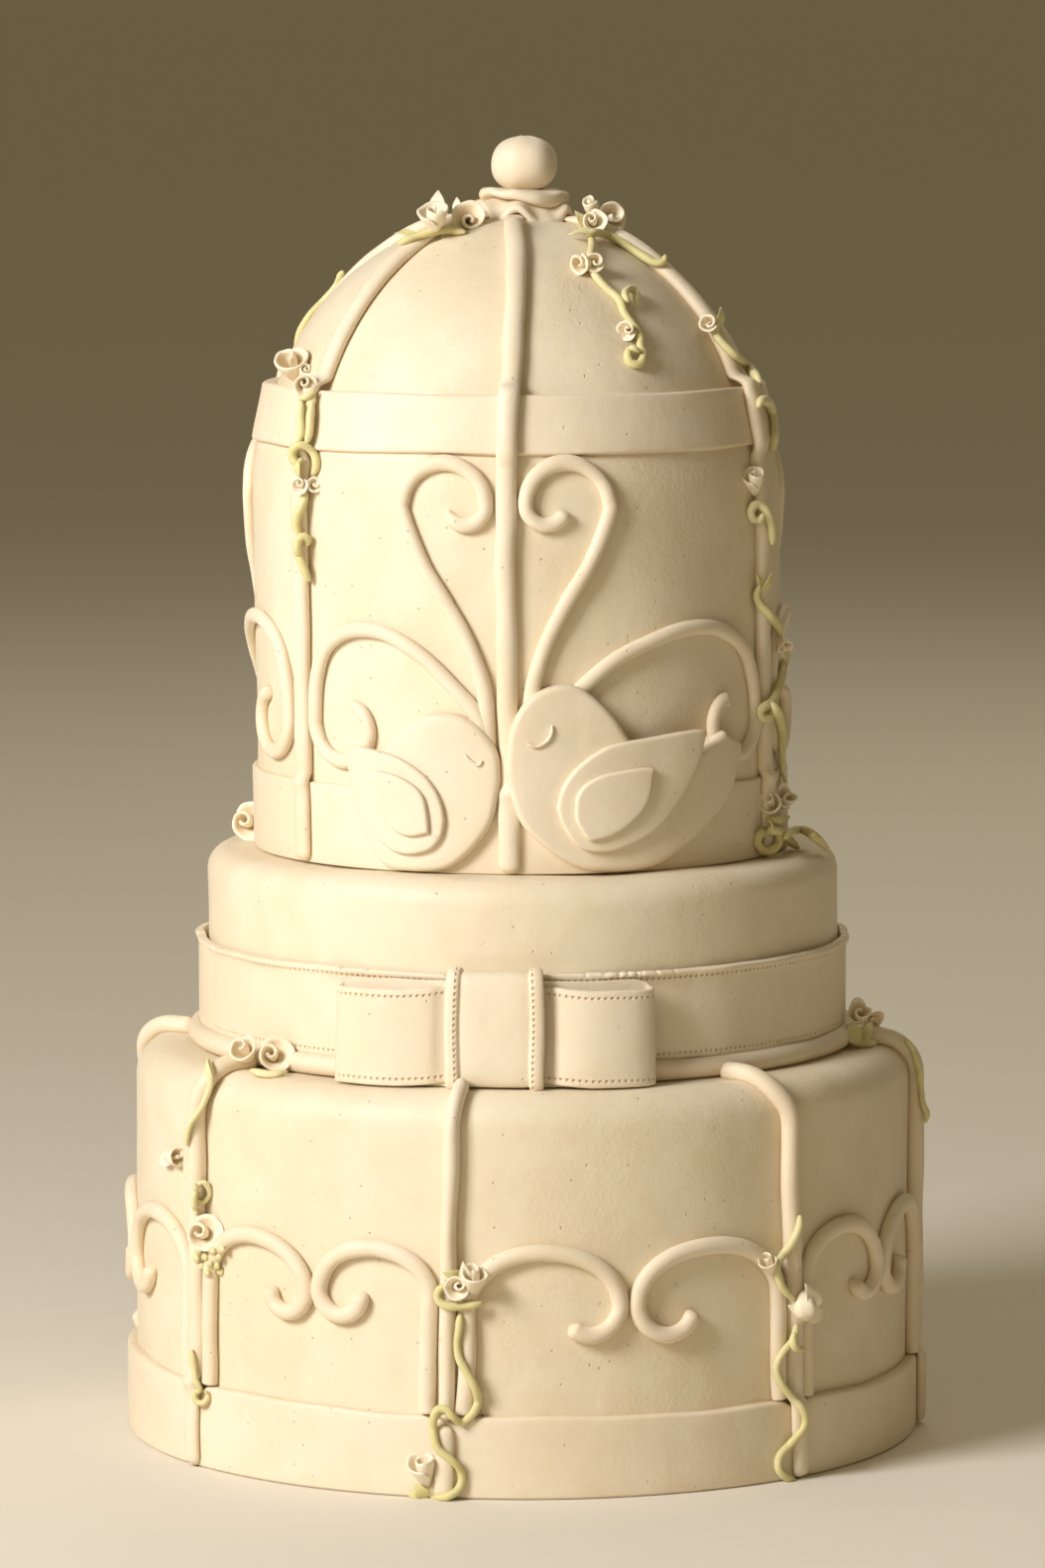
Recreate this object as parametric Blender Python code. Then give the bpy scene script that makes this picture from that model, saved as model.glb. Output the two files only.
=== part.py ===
"""A three-tier wedding cake in rolled icing, its top tier dressed as a birdcage, as separate solids.

Sizes are in millimetres and are turned into metres where points are placed. The origin is the centre
of the base, +Z is up, and the front faces -Y. An angle is measured round the cake in degrees, from
the front towards +X. A run is the distance up a tier's outline, which on an upright wall is the
height, and a lift is the distance off that outline.
"""

import math

import bmesh
import bpy
import numpy as np

MM = 0.001
GAP = 0.3
SEGMENTS = 32

# Driving dimensions: the tiers
BOTTOM_RADIUS = 162.0
BOTTOM_HEIGHT = 163.0
BOTTOM_EDGE = 14.0
MIDDLE_RADIUS = 132.0
MIDDLE_HEIGHT = 82.0
MIDDLE_EDGE = 10.0
CAGE_RADIUS = 109.7
CAGE_SHOULDER = 155.0
DOME_RADIUS = 104.5
DOME_CENTRE = 158.5
DOME_START = 18.7
CAGE_LEAN = -2.9
CAGE_LEAN_RISE = 195.0
CAGE_SHIFT = -0.6
# The cage draws in round its shoulder: rises above it, each with how far in the wall stands
CAGE_TAPER = ((-10.0, 0.0), (0.0, 0.5), (12.0, 2.2))

# Driving dimensions: bands, ropes and trims
BAND_THICK = 4.2
BAND_RISE = 33.0
BAND_SWELL = 3.0
BAND_SWELL_TURN = 83.0
BAND_WAVE = 1.0
BAND_CHAMFER = (1.6, 4.0)
CAGE_FOOT_RISE = 33.5
CAGE_FOOT_THICK = 2.0
CAGE_FOOT_CHAMFER = (1.2, 1.5)
CAGE_RIM_LOW = 169.0
CAGE_RIM_HIGH = 192.0
CAGE_RIM_THICK = (3.0, 5.6)
CAGE_RIM_CHAMFER = 2.0
ROLL_RADIUS = 3.9
RIBBON_LOW = 8.8
RIBBON_HIGH = 44.8
RIBBON_THICK = 3.7
RIBBON_LIP = (1.2, 4.5)
RIB_WIDTH = 7.8
RIB_HEIGHT = 7.0
CAGE_RIB_WIDTH = 8.3
CAGE_RIB_HEIGHT = 5.5
# A cage rib's height under the cap, and how far from the crown it starts and ends to flatten
CROWN_HEIGHT = 2.3
CROWN_REACH = 36.0
CROWN_FLAT = 22.0
SCROLL_WIDTH = 7.0
SCROLL_HEIGHT = 5.2
CURL_WIDTH = 6.0
CURL_HEIGHT = 4.5
VINE_RADIUS = 1.7
# How far a vine or a rose sinks into the rib that it is part of
OWN_SINK = 2.0
# A rope climbs over a band on a slope: how far from the band's edge the slope starts and ends
BAND_CLIMB = (5.0, 0.3)
RIM_CLIMB_LOW = (5.0, 1.0)
RIM_CLIMB_HIGH = (6.0, 1.5)
# How far the ribs stand off the bottom tier's rounded edge, which is faceted
EDGE_CLEAR = 0.9
# How low parts stand above what is under them
FOOT_CLEAR = 0.5
# The step in which routes are followed when vines are laid on them
FINE_STEP = 1.5
# The Boolean solver that joins and cuts solids
SOLVER = "MANIFOLD"

MIDDLE_FOOT = BOTTOM_HEIGHT + GAP
CAGE_FOOT = MIDDLE_FOOT + MIDDLE_HEIGHT - GAP
CAGE_BASE = CAGE_FOOT + GAP

# Ribs of the bottom tier: angle at the foot, at the top of the wall, and at the start on the ledge
BOTTOM_RIBS = {
    "a": (-104.0, -104.0, -94.0),
    "b": (-53.5, -53.5, -47.5),
    "c": (-11.0, -9.5, -9.0),
    "d": (42.3, 40.8, 35.5),
    "e": (86.5, 86.0, 82.0),
    "f": (129.0, 129.0, 133.0),
    "g": (171.0, 171.0, 167.0),
    "h": (213.0, 213.0, 217.0),
}
# Where each of those ribs starts on the ledge, as a distance from the axis, and how long it takes to turn
LEDGE_START = 141.4
BOW_LEDGE_START = 154.5
LEDGE_TURN = 27.0

# Ribs of the birdcage: angle at the foot and at the crown
CAGE_RIBS = {
    "front": (-2.2, 0.5),
    "right": (64.2, 67.0),
    "back_right": (121.0, 121.0),
    "back": (180.0, 178.0),
    "back_left": (245.5, 246.0),
    "left": (-52.0, -51.0),
}
# The runs between which a cage rib turns from one angle to the other
CAGE_RIB_TURN = (400.0, 480.0)
# The three ribs that carry a pair of heart scrolls and a pair of loops, with each loop's reach
CAGE_MOTIFS = {
    "front": (-2.2, 88.0, 119.5),
    "right": (121.0, 101.5, 105.0),
    "left": (245.5, 117.0, 109.5),
}

IVORY = (0.86, 0.78, 0.64)
TRIM_IVORY = (0.86, 0.77, 0.63)
ROSE_IVORY = (0.87, 0.76, 0.62)
VINE_GREEN = (0.72, 0.66, 0.33)


def ramp(value, start, end):
    """0 before start and 1 after end, which may be the lower of the two."""
    return min(max((value - start) / (end - start), 0.0), 1.0)


class Surface:
    """The outside of one tier, read as angle, run up its outline and lift off it."""

    def __init__(self, outline, leans=False):
        self.outline = np.array(outline)
        steps = np.hypot(*np.diff(self.outline, axis=0).T)
        self.runs = self.outline[0, 1] + np.concatenate([[0.0], np.cumsum(steps)])
        self.leans = leans

    def radius(self, run):
        return float(np.interp(run, self.runs, self.outline[:, 0]))

    def height(self, run):
        return float(np.interp(run, self.runs, self.outline[:, 1]))

    def run_at(self, height):
        return float(np.interp(height, self.outline[:, 1], self.runs))

    def normal(self, run):
        reach = 1.5
        dr = self.radius(run + reach) - self.radius(run - reach)
        dz = self.height(run + reach) - self.height(run - reach)
        size = math.hypot(dr, dz) or 1.0
        return dz / size, -dr / size

    def shift(self, height):
        """How far the leaning cage stands to the side at a height."""
        if not self.leans:
            return 0.0
        return CAGE_SHIFT + CAGE_LEAN * ramp(height, CAGE_FOOT, CAGE_FOOT + CAGE_LEAN_RISE)

    def place(self, angle, radius, height):
        turn = math.radians(angle)
        return np.array([self.shift(height) + radius * math.sin(turn), -radius * math.cos(turn), height])

    def point(self, angle, run, lift=0.0):
        out, up = self.normal(run)
        return self.place(angle, self.radius(run) + lift * out, self.height(run) + lift * up)

    def off(self, angle, run, side, rise):
        """The angle and run that lie a few millimetres to the side and up from a place."""
        return angle + math.degrees(side / max(self.radius(run), 1.0)), run + rise


def tier_outline(radius, foot, height, edge, steps=5):
    """An upright wall with a rounded top edge, then the flat top up to the axis."""
    top = foot + height
    corner = [
        (radius - edge + edge * math.cos(turn), top - edge + edge * math.sin(turn))
        for turn in np.linspace(0.0, math.pi / 2, steps)
    ]
    return [(radius, foot)] + corner + [(0.0, top)]


def cage_outline(steps=9):
    """The cage's wall, its shoulder under the rim band, and the dome."""
    foot, centre = CAGE_BASE, CAGE_FOOT + DOME_CENTRE
    start = math.radians(DOME_START)
    shoulder = [(CAGE_RADIUS - inward, foot + CAGE_SHOULDER + rise) for rise, inward in CAGE_TAPER]
    dome = [
        (DOME_RADIUS * math.cos(turn), centre + DOME_RADIUS * math.sin(turn))
        for turn in np.linspace(start, math.pi / 2, steps)
    ]
    return [(CAGE_RADIUS, foot)] + shoulder + dome


BOTTOM = Surface(tier_outline(BOTTOM_RADIUS, 0.0, BOTTOM_HEIGHT, BOTTOM_EDGE))
MIDDLE = Surface(tier_outline(MIDDLE_RADIUS, MIDDLE_FOOT, MIDDLE_HEIGHT - GAP, MIDDLE_EDGE))
CAGE = Surface(cage_outline(), leans=True)
BOW = Surface([(MIDDLE_RADIUS + 8.5, MIDDLE_FOOT), (MIDDLE_RADIUS + 8.5, MIDDLE_FOOT + 60)])


def make_material(name, colour, roughness=0.62):
    material = bpy.data.materials.new(name)
    material.use_nodes = True
    shader = material.node_tree.nodes["Principled BSDF"]
    shader.inputs["Base Color"].default_value = (*colour, 1.0)
    shader.inputs["Roughness"].default_value = roughness
    shader.inputs["Metallic"].default_value = 0.0
    return material


def solid(name, points, faces, material):
    """One closed mesh object from points in millimetres, its faces turned outwards."""
    mesh = bpy.data.meshes.new(name)
    mesh.from_pydata([tuple(p * MM) for p in points], [], faces)
    work = bmesh.new()
    work.from_mesh(mesh)
    bmesh.ops.recalc_face_normals(work, faces=work.faces)
    work.to_mesh(mesh)
    work.free()
    mesh.materials.append(material)
    mesh.shade_smooth()
    mesh.set_sharp_from_angle(angle=math.radians(40))
    made = bpy.data.objects.new(name, mesh)
    bpy.context.scene.collection.objects.link(made)
    return made


def loft(name, rings, material, closed=False):
    """A solid through rings of equal count: capped at both ends, or closed on itself."""
    count = len(rings[0])
    points = [p for ring in rings for p in ring]
    faces = []
    last = len(rings) if closed else len(rings) - 1
    for i in range(last):
        low, high = i * count, (i + 1) % len(rings) * count
        for k in range(count):
            n = (k + 1) % count
            faces.append((low + k, low + n, high + n, high + k))
    if not closed:
        faces.append(tuple(range(count)))
        faces.append(tuple(range(len(points) - count, len(points))))
    return solid(name, points, faces, material)


def turned(name, surface, outline, material):
    """A solid of revolution about the axis, with a pole or a flat face at each end."""
    rings = []
    for radius, height in outline:
        if radius > 0:
            rings.append([surface.place(360 * k / SEGMENTS, radius, height) for k in range(SEGMENTS)])
    return loft(name, rings, material)


def ring_band(name, surface, section, material):
    """A ring whose section, a list of (radius, height), may change with the angle."""
    rings = []
    for k in range(SEGMENTS):
        angle = 360 * k / SEGMENTS
        rings.append([surface.place(angle, radius, height) for radius, height in section(angle)])
    return loft(name, rings, material, closed=True)


def fuse(name, pieces):
    """One body from overlapping solids."""
    first, rest = pieces[0], pieces[1:]
    if rest:
        others = bpy.data.collections.new(name + "_joined")
        for piece in rest:
            others.objects.link(piece)
        join = first.modifiers.new("join", "BOOLEAN")
        join.operation = "UNION"
        join.operand_type = "COLLECTION"
        join.collection = others
        join.solver = SOLVER
        settle(first)
        for piece in rest:
            bpy.data.objects.remove(piece)
        bpy.data.collections.remove(others)
    first.name = name
    return first


def cut(body, cutters):
    """Takes each cutter's shape out of a body, and removes the cutter."""
    for cutter in cutters:
        carve = body.modifiers.new("carve", "BOOLEAN")
        carve.operation = "DIFFERENCE"
        carve.object = cutter
        carve.solver = SOLVER
        settle(body)
        bpy.data.objects.remove(cutter)
    return body


def settle(piece):
    """Turns an object's modifiers into its mesh."""
    bpy.context.view_layer.update()
    graph = bpy.context.evaluated_depsgraph_get()
    mesh = bpy.data.meshes.new_from_object(piece.evaluated_get(graph))
    piece.modifiers.clear()
    piece.data = mesh


# Sections as (side, lift) shares of a rope's width and height
ROPE_SECTION = [(-0.5, 0.0), (-0.42, 0.62), (0.0, 1.0), (0.42, 0.62), (0.5, 0.0)]
SLIM_SECTION = [(-0.5, 0.0), (-0.3, 0.95), (0.3, 0.95), (0.5, 0.0)]


def headings(surface, route):
    """The unit direction of travel at each (angle, run) of a route, in millimetres along the surface."""
    found = []
    for i in range(len(route)):
        a, b = route[max(i - 1, 0)], route[min(i + 1, len(route) - 1)]
        radius = surface.radius(route[i][1])
        side, rise = math.radians(b[0] - a[0]) * radius, b[1] - a[1]
        size = math.hypot(side, rise) or 1.0
        found.append((side / size, rise / size))
    return found


def rope_rings(surface, route, width, height, base=None, section=ROPE_SECTION, grow=0.0):
    """A flat-bottomed rope that lies on a surface along (angle, run) points.

    base gives the lift of its underside at an angle and run, and grow widens it, for a cutter.
    """
    ways = headings(surface, route)
    if grow:
        ends = []
        for i, way in ((0, -2 * grow), (-1, 2 * grow)):
            ends.append(surface.off(*route[i], way * ways[i][0], way * ways[i][1]))
        route = ends[:1] + list(route[1:-1]) + ends[1:]
    rings = []
    for (angle, run), (along, up) in zip(route, ways):
        low = base(angle, run) if base else GAP
        ring = []
        for side, lift in section:
            reach = side * (width + 2 * grow)
            place = surface.off(angle, run, reach * up, -reach * along)
            ring.append(surface.point(*place, low - grow + lift * (height + 2 * grow)))
        rings.append(ring)
    return rings


def smooth_route(points, step):
    """Points a step apart along a smooth curve through a route's own points."""
    points = np.array(points, float)
    padded = np.vstack([2 * points[0] - points[1], points, 2 * points[-1] - points[-2]])
    curve = []
    for i in range(1, len(padded) - 2):
        before, start, end, after = padded[i - 1 : i + 3]
        for t in np.linspace(0.0, 1.0, 12, endpoint=False):
            curve.append(
                0.5
                * (
                    2 * start
                    + (end - before) * t
                    + (2 * before - 5 * start + 4 * end - after) * t**2
                    + (3 * start - before - 3 * end + after) * t**3
                )
            )
    curve = np.array(curve + [points[-1]])
    along = np.concatenate([[0.0], np.cumsum(np.linalg.norm(np.diff(curve, axis=0), axis=1))])
    stops = np.linspace(0.0, along[-1], max(int(round(along[-1] / step)), 2) + 1)
    return np.column_stack([np.interp(stops, along, curve[:, k]) for k in range(points.shape[1])])


def arc(centre, radius, start, end, steps, radius_end=None):
    """Points on an arc or, with a second radius, on a spiral, in (side, rise)."""
    radius_end = radius if radius_end is None else radius_end
    found = []
    for share in np.linspace(0.0, 1.0, steps):
        turn = math.radians(start + (end - start) * share)
        reach = radius + (radius_end - radius) * share
        found.append((centre[0] + reach * math.cos(turn), centre[1] + reach * math.sin(turn)))
    return found


def band_rise(angle):
    """The height of the hand-cut base band, which is tallest at the left."""
    turn = math.radians(angle)
    swell = BAND_SWELL * math.cos(turn + math.radians(BAND_SWELL_TURN))
    return BAND_RISE + swell + BAND_WAVE * math.sin(2 * turn)


def rib_angle(letter, run):
    """The angle of a bottom rib's centre at a run up the wall."""
    foot, top, start = BOTTOM_RIBS[letter]
    wall = BOTTOM_HEIGHT - BOTTOM_EDGE
    if run <= wall:
        return foot + (top - foot) * run / wall
    return top + (start - top) * ramp(run, wall, wall + LEDGE_TURN)


def base_band_lift(angle, run):
    """The lift of a rope's underside: on the wall, or over the base band."""
    over = band_rise(angle)
    climb = ramp(run, over + BAND_CLIMB[0], over + BAND_CLIMB[1])
    corner = BOTTOM.runs[1]
    return GAP + (BAND_THICK + GAP) * climb + EDGE_CLEAR * ramp(run, corner - 3, corner)


def cage_lift(angle, run):
    """The lift of a rope's underside over the cage's foot band and rim band."""
    foot_top = CAGE_BASE + CAGE_FOOT_RISE
    foot = (CAGE_FOOT_THICK + GAP) * ramp(run, foot_top + BAND_CLIMB[0], foot_top + BAND_CLIMB[1])
    low, high = rim_runs()
    below = ramp(run, low - RIM_CLIMB_LOW[0], low - RIM_CLIMB_LOW[1])
    above = ramp(run, high + RIM_CLIMB_HIGH[0], high + RIM_CLIMB_HIGH[1])
    rim = (rim_thick(run) + 1.5 * GAP) * min(below, above)
    return GAP + max(foot, rim)


def rim_runs():
    """The runs of the rim band's lower and upper edges."""
    return CAGE.run_at(CAGE_BASE + CAGE_RIM_LOW), CAGE.run_at(CAGE_BASE + CAGE_RIM_HIGH)


def rim_thick(run):
    """The rim band is thin at its foot and thick at its top, so it stands more upright than the dome."""
    thin, thick = CAGE_RIM_THICK
    return thin + (thick - thin) * ramp(run, *rim_runs())


def crown_thin(run):
    """A cage rib flattens where the cap presses on it."""
    top = CAGE.runs[-1]
    return CAGE_RIB_HEIGHT + (CROWN_HEIGHT - CAGE_RIB_HEIGHT) * ramp(run, top - CROWN_REACH, top - CROWN_FLAT)


# How square a vine's or a scroll's section is, as the power of its rounding, against a round rib's
VINE_FULLNESS = 3
SCROLL_FULLNESS = 4
RIB_FULLNESS = 2


class Relief:
    """What lies on a tier, so that vines and roses can rest on it."""

    def __init__(self, surface, floor):
        self.surface = surface
        self.floor = floor
        self.ropes = []

    def add(self, name, route, width, height, base, fullness):
        """A rope along (angle, run) points: height and base are functions of its place."""
        middle = self.surface.radius(route[len(route) // 2][1])
        flat = [(math.radians(angle) * middle, run) for angle, run in route]
        dense = smooth_route(flat, FINE_STEP)
        angles = np.degrees(dense[:, 0] / middle)
        lows = np.array([base(a, r) for a, r in zip(angles, dense[:, 1])])
        tops = lows + np.array([height(r) for r in dense[:, 1]])
        self.ropes.append((name, angles, dense[:, 1], width / 2 + GAP, lows, tops, fullness))

    def add_vine(self, name, route, radius):
        """A vine through (angle, run, lift) points, filled down to what lies under it."""
        angles, runs, lifts = np.array(route).T
        middle = self.surface.radius(runs[len(runs) // 2])
        along = np.hypot(np.diff(np.radians(angles) * middle), np.diff(runs))
        along = np.concatenate([[0.0], np.cumsum(along)])
        stops = np.arange(0.0, along[-1], FINE_STEP)
        dense = [np.interp(stops, along, values) for values in (angles, runs, lifts)]
        low, top = dense[2] - radius, dense[2] + radius
        self.ropes.append((name, dense[0], dense[1], radius + 2 * GAP, low, top, VINE_FULLNESS))

    def height(self, angle, run, own=None):
        """The top of what lies at a place. A piece's own rib counts as lower, so that they join."""
        top = self.floor(angle, run)
        radius = self.surface.radius(run)
        for name, angles, runs, half, lows, tops, fullness in self.ropes:
            turn = (angle - angles + 180) % 360 - 180
            away = np.hypot(np.radians(turn) * radius, run - runs)
            k = int(np.argmin(away))
            if away[k] < half:
                share = (1 - (away[k] / half) ** fullness) ** (1 / fullness)
                rise = lows[k] + (tops[k] - lows[k]) * share
                top = max(top, rise - OWN_SINK if name == own else rise)
        return top

    def under(self, angle, run, reach, own=None):
        """The highest point under a round footprint."""
        tops = [self.height(angle, run, own)]
        for turn in np.linspace(0, 2 * math.pi, 8, endpoint=False):
            place = self.surface.off(angle, run, reach * math.cos(turn), reach * math.sin(turn))
            tops.append(self.height(*place, own))
        return max(tops)


def drape(relief, route, radius, own, step=7.5):
    """Gives a vine's (angle, run) points the lifts that clear what lies under them."""
    middle = relief.surface.radius(route[len(route) // 2][1])
    fine = smooth_route([(math.radians(angle) * middle, run) for angle, run in route], FINE_STEP)
    angles = np.degrees(fine[:, 0] / middle)
    need = np.array([relief.under(a, r, radius + 0.2, own) for a, r in zip(angles, fine[:, 1])])
    reach = int(step / FINE_STEP)
    padded = np.pad(need, reach, mode="edge")
    lifts = [padded[i : i + 2 * reach + 1].max() + radius + GAP for i in range(len(need))]
    picked = list(range(0, len(fine) - 1, reach))
    if len(fine) - 1 - picked[-1] < reach / 2:
        picked.pop()
    return [(angles[i], fine[i, 1], lifts[i]) for i in picked + [len(fine) - 1]]


def tube(surface, route, radius, material, sides=3, tip=0.5):
    """A vine through (angle, run, lift) points, tapered at both ends."""
    centres = [surface.point(*place) for place in route]
    rings = []
    for i, centre in enumerate(centres):
        ahead = centres[min(i + 1, len(centres) - 1)] - centres[max(i - 1, 0)]
        ahead /= np.linalg.norm(ahead)
        out = centre - surface.point(route[i][0], route[i][1], route[i][2] - 1.0)
        side = np.cross(ahead, out)
        side /= np.linalg.norm(side)
        out = np.cross(side, ahead)
        size = radius * (tip if i in (0, len(centres) - 1) else 1.0)
        turns = [2 * math.pi * k / sides + math.pi / 2 for k in range(sides)]
        rings.append([centre + size * (math.cos(t) * side + math.sin(t) * out) for t in turns])
    return loft("vine", rings, material)


def seat(relief, angle, run, points, own):
    """The lift at which a shape, given as (side, rise, out) points, clears what lies under it."""
    radius = relief.surface.radius(run)
    lifts = []
    for side, rise, out in points:
        place = relief.surface.off(angle, run, side, rise)
        lifts.append(relief.height(*place, own) + GAP + 0.1 - out + side * side / (2 * radius))
    return max(lifts)


def stand(relief, angle, run, lift, points):
    """Turns (side, rise, out) points at a place of the surface into world points."""
    here = relief.surface.point(angle, run, lift)
    out = relief.surface.point(angle, run, lift + 1.0) - here
    side = relief.surface.point(angle + 0.1, run, lift) - here
    side /= np.linalg.norm(side)
    up = np.cross(out, side)
    return [here + p[0] * side + p[1] * up + p[2] * out for p in points]


# A rolled rose above its foot, as shares of its radius and height, and its bud's tip
ROSE_PROFILE = ((1.0, 0.9), (0.72, 1.0), (0.36, 0.55))
ROSE_TIP = 0.85
ROSE_SIDES = 6
# A leaf's outline as shares of its length and width, from one side of its root to the other
LEAF_OUTLINE = ((0.0, -0.2), (0.5, -0.5), (1.0, 0.0), (0.5, 0.5), (0.0, 0.2))
LEAF_THICK = 1.4


def rose(relief, angle, run, radius, height, material, lean=(0.0, 0.0), own=None, foot=0.5):
    """A rolled rose or a cone: a flaring cup with a lip and its bud inside, leaning to a side and a rise."""
    axis = np.array([lean[0], lean[1], 1.0])
    axis /= np.linalg.norm(axis)
    across = np.cross([0.0, 1.0, 0.0], axis)
    across /= np.linalg.norm(across)
    up = np.cross(axis, across)
    sides = ROSE_SIDES
    points = []
    for share, rise in ((foot, 0.0), *ROSE_PROFILE):
        for turn in np.linspace(0, 2 * math.pi, sides, endpoint=False):
            reach = radius * share
            points.append(axis * rise * height + reach * (math.cos(turn) * across + math.sin(turn) * up))
    points.append(axis * ROSE_TIP * height)
    faces = [tuple(range(sides))]
    for i in range(len(ROSE_PROFILE)):
        for k in range(sides):
            n = (k + 1) % sides
            faces.append((i * sides + k, i * sides + n, (i + 1) * sides + n, (i + 1) * sides + k))
    inmost = len(ROSE_PROFILE) * sides
    for k in range(sides):
        faces.append((inmost + k, inmost + (k + 1) % sides, len(points) - 1))
    lift = seat(relief, angle, run, points, own)
    return solid("rose", stand(relief, angle, run, lift, points), faces, material)


def leaf(relief, angle, run, heading, length, width, material, own=None, tilt=0.25):
    """A pointed leaf from its root, heading measured from +angle towards up."""
    turn = math.radians(heading)
    along, up = math.cos(turn), math.sin(turn)
    points = []
    for thick in (0.0, LEAF_THICK):
        for share, across in LEAF_OUTLINE:
            far, wide = share * length, across * width
            points.append(np.array([far * along - wide * up, far * up + wide * along, thick + tilt * far]))
    lift = seat(relief, angle, run, points, own)
    rings = stand(relief, angle, run, lift, points)
    return loft("leaf", [rings[: len(LEAF_OUTLINE)], rings[len(LEAF_OUTLINE) :]], material)


# The tiers


def build_tiers(icing):
    turned("tier_bottom", BOTTOM, BOTTOM.outline[:-1], icing)
    turned("tier_middle", MIDDLE, MIDDLE.outline[:-1], icing)
    turned("tier_top", CAGE, CAGE.outline[:-1], icing)


def build_bands(trim):
    inside, outside = BOTTOM_RADIUS + GAP, BOTTOM_RADIUS + GAP + BAND_THICK

    def base_section(angle):
        top = band_rise(angle)
        inward, down = BAND_CHAMFER
        low = FOOT_CLEAR
        return [(inside, low), (outside, low), (outside, top - down), (outside - inward, top), (inside, top)]

    def cage_foot_section(angle):
        low, top = CAGE_BASE + GAP, CAGE_BASE + CAGE_FOOT_RISE
        near, far = CAGE_RADIUS + GAP, CAGE_RADIUS + GAP + CAGE_FOOT_THICK
        inward, down = CAGE_FOOT_CHAMFER
        return [(near, low), (far, low), (far, top - down), (far - inward, top), (near, top)]

    def cage_rim_section(angle):
        low, high = rim_runs()
        points = []
        bevel = high - CAGE_RIM_CHAMFER
        for run, share in ((low, 0.0), (low, 1.0), (bevel, 1.0), (high, 0.7), (high, 0.0)):
            lift = GAP + rim_thick(run) * share
            out, up = CAGE.normal(run)
            points.append((CAGE.radius(run) + lift * out, CAGE.height(run) + lift * up))
        return points

    def roll_section(angle):
        centre = (MIDDLE_RADIUS + GAP + ROLL_RADIUS, MIDDLE_FOOT + ROLL_RADIUS + 0.2)
        return arc(centre, ROLL_RADIUS, 18, 306, 5)

    def ribbon_section(angle):
        near, far = MIDDLE_RADIUS + GAP, MIDDLE_RADIUS + GAP + RIBBON_THICK
        low, top = MIDDLE_FOOT + RIBBON_LOW, MIDDLE_FOOT + RIBBON_HIGH
        out, down = RIBBON_LIP
        lip = top - down
        return [(near, low), (far, low), (far, lip), (far + out, lip + 1), (far + 0.75 * out, top), (near, top)]

    ring_band("band_bottom", BOTTOM, base_section, trim)
    ring_band("band_cage_foot", CAGE, cage_foot_section, trim)
    ring_band("band_cage_rim", CAGE, cage_rim_section, trim)
    ring_band("roll_middle", MIDDLE, roll_section, trim)
    ring_band("ribbon_middle", MIDDLE, ribbon_section, trim)


# The bow

BOW_ANGLE = -4.8
KNOT_HALF = 18.8
KNOT_SHIFT = 1.1
KNOT_LIFT = 10.4
LOOP_REACH = 65.0
STRIP_THICK = 2.2
# Heights above the middle tier's foot: the loops' lower edge, their front and back top edges, and the knot
LOOP_LOW = 0.3
LOOP_FRONT = 39.2
LOOP_BACK = 42.6
KNOT_HIGH = 47.2


def bow_point(side, lift, rise):
    """A point of the bow: its back leans in above the roll."""
    angle = BOW_ANGLE + math.degrees(side / BOW.radius(MIDDLE_FOOT))
    return BOW.point(angle, MIDDLE_FOOT + rise, lift - 2.6 * rise / KNOT_HIGH)


def bow_loop(name, hand, trim):
    """One loop: a strip that leaves the knot, swells outwards, turns and comes back flat."""
    start = KNOT_HALF + hand * KNOT_SHIFT + 2 * GAP
    front = [(start, 5.4), (start + 9, 8.8), (43, 11.0), (56, 10.2)]
    turn = [(LOOP_REACH - 2, 7.4), (LOOP_REACH, 4.6), (LOOP_REACH - 2.5, 2.1)]
    back = [(54, 1.5), (38, 1.5), (start, 1.5)]
    path = front + turn + back
    rings = []
    for i, (side, lift) in enumerate(path):
        before, after = path[max(i - 1, 0)], path[min(i + 1, len(path) - 1)]
        size = math.hypot(after[0] - before[0], after[1] - before[1])
        across = (after[1] - before[1]) / size, -(after[0] - before[0]) / size
        if i in (0, len(path) - 1):
            across = (0.0, -1.0 if i == 0 else 1.0)
        pinch = max(0.0, 1 - (side - start) / 20.0)
        low = LOOP_LOW + 1.2 * pinch
        high = LOOP_BACK if i > len(front) + 1 else LOOP_FRONT + 2.0 * pinch
        ring = []
        for rise, way in ((low, -0.5), (low, 0.5), (high, 0.5), (high, -0.5)):
            reach = way * STRIP_THICK
            ring.append(bow_point(hand * (side + reach * across[0]), max(lift + reach * across[1], GAP), rise))
        rings.append(ring)
    return loft(name, rings, trim)


def bow_knot(name, trim):
    """The knot: a strip folded over the bow's middle, with rolled edges."""
    rings = []
    low, high = LOOP_LOW, KNOT_HIGH
    for side, swell in ((-KNOT_HALF, -1.2), (-KNOT_HALF + 1.2, 0.7), (-KNOT_HALF + 4, 0.0), (0.0, 0.3),
                        (KNOT_HALF - 4, 0.0), (KNOT_HALF - 1.2, 0.7), (KNOT_HALF, -1.2)):
        top = KNOT_LIFT + swell
        section = [(GAP, low + 1), (top - 4, low), (top - 1, low + 3), (top, low + 12)]
        section += [(top, high - 12), (top - 1, high - 3), (top - 4, high), (GAP, high - 1)]
        rings.append([bow_point(side + KNOT_SHIFT, lift, rise) for lift, rise in section])
    return loft(name, rings, trim)


def build_bow(trim):
    bow_loop("bow_loop_left", -1, trim)
    bow_loop("bow_loop_right", 1, trim)
    bow_knot("bow_knot", trim)


# Ribs


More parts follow.
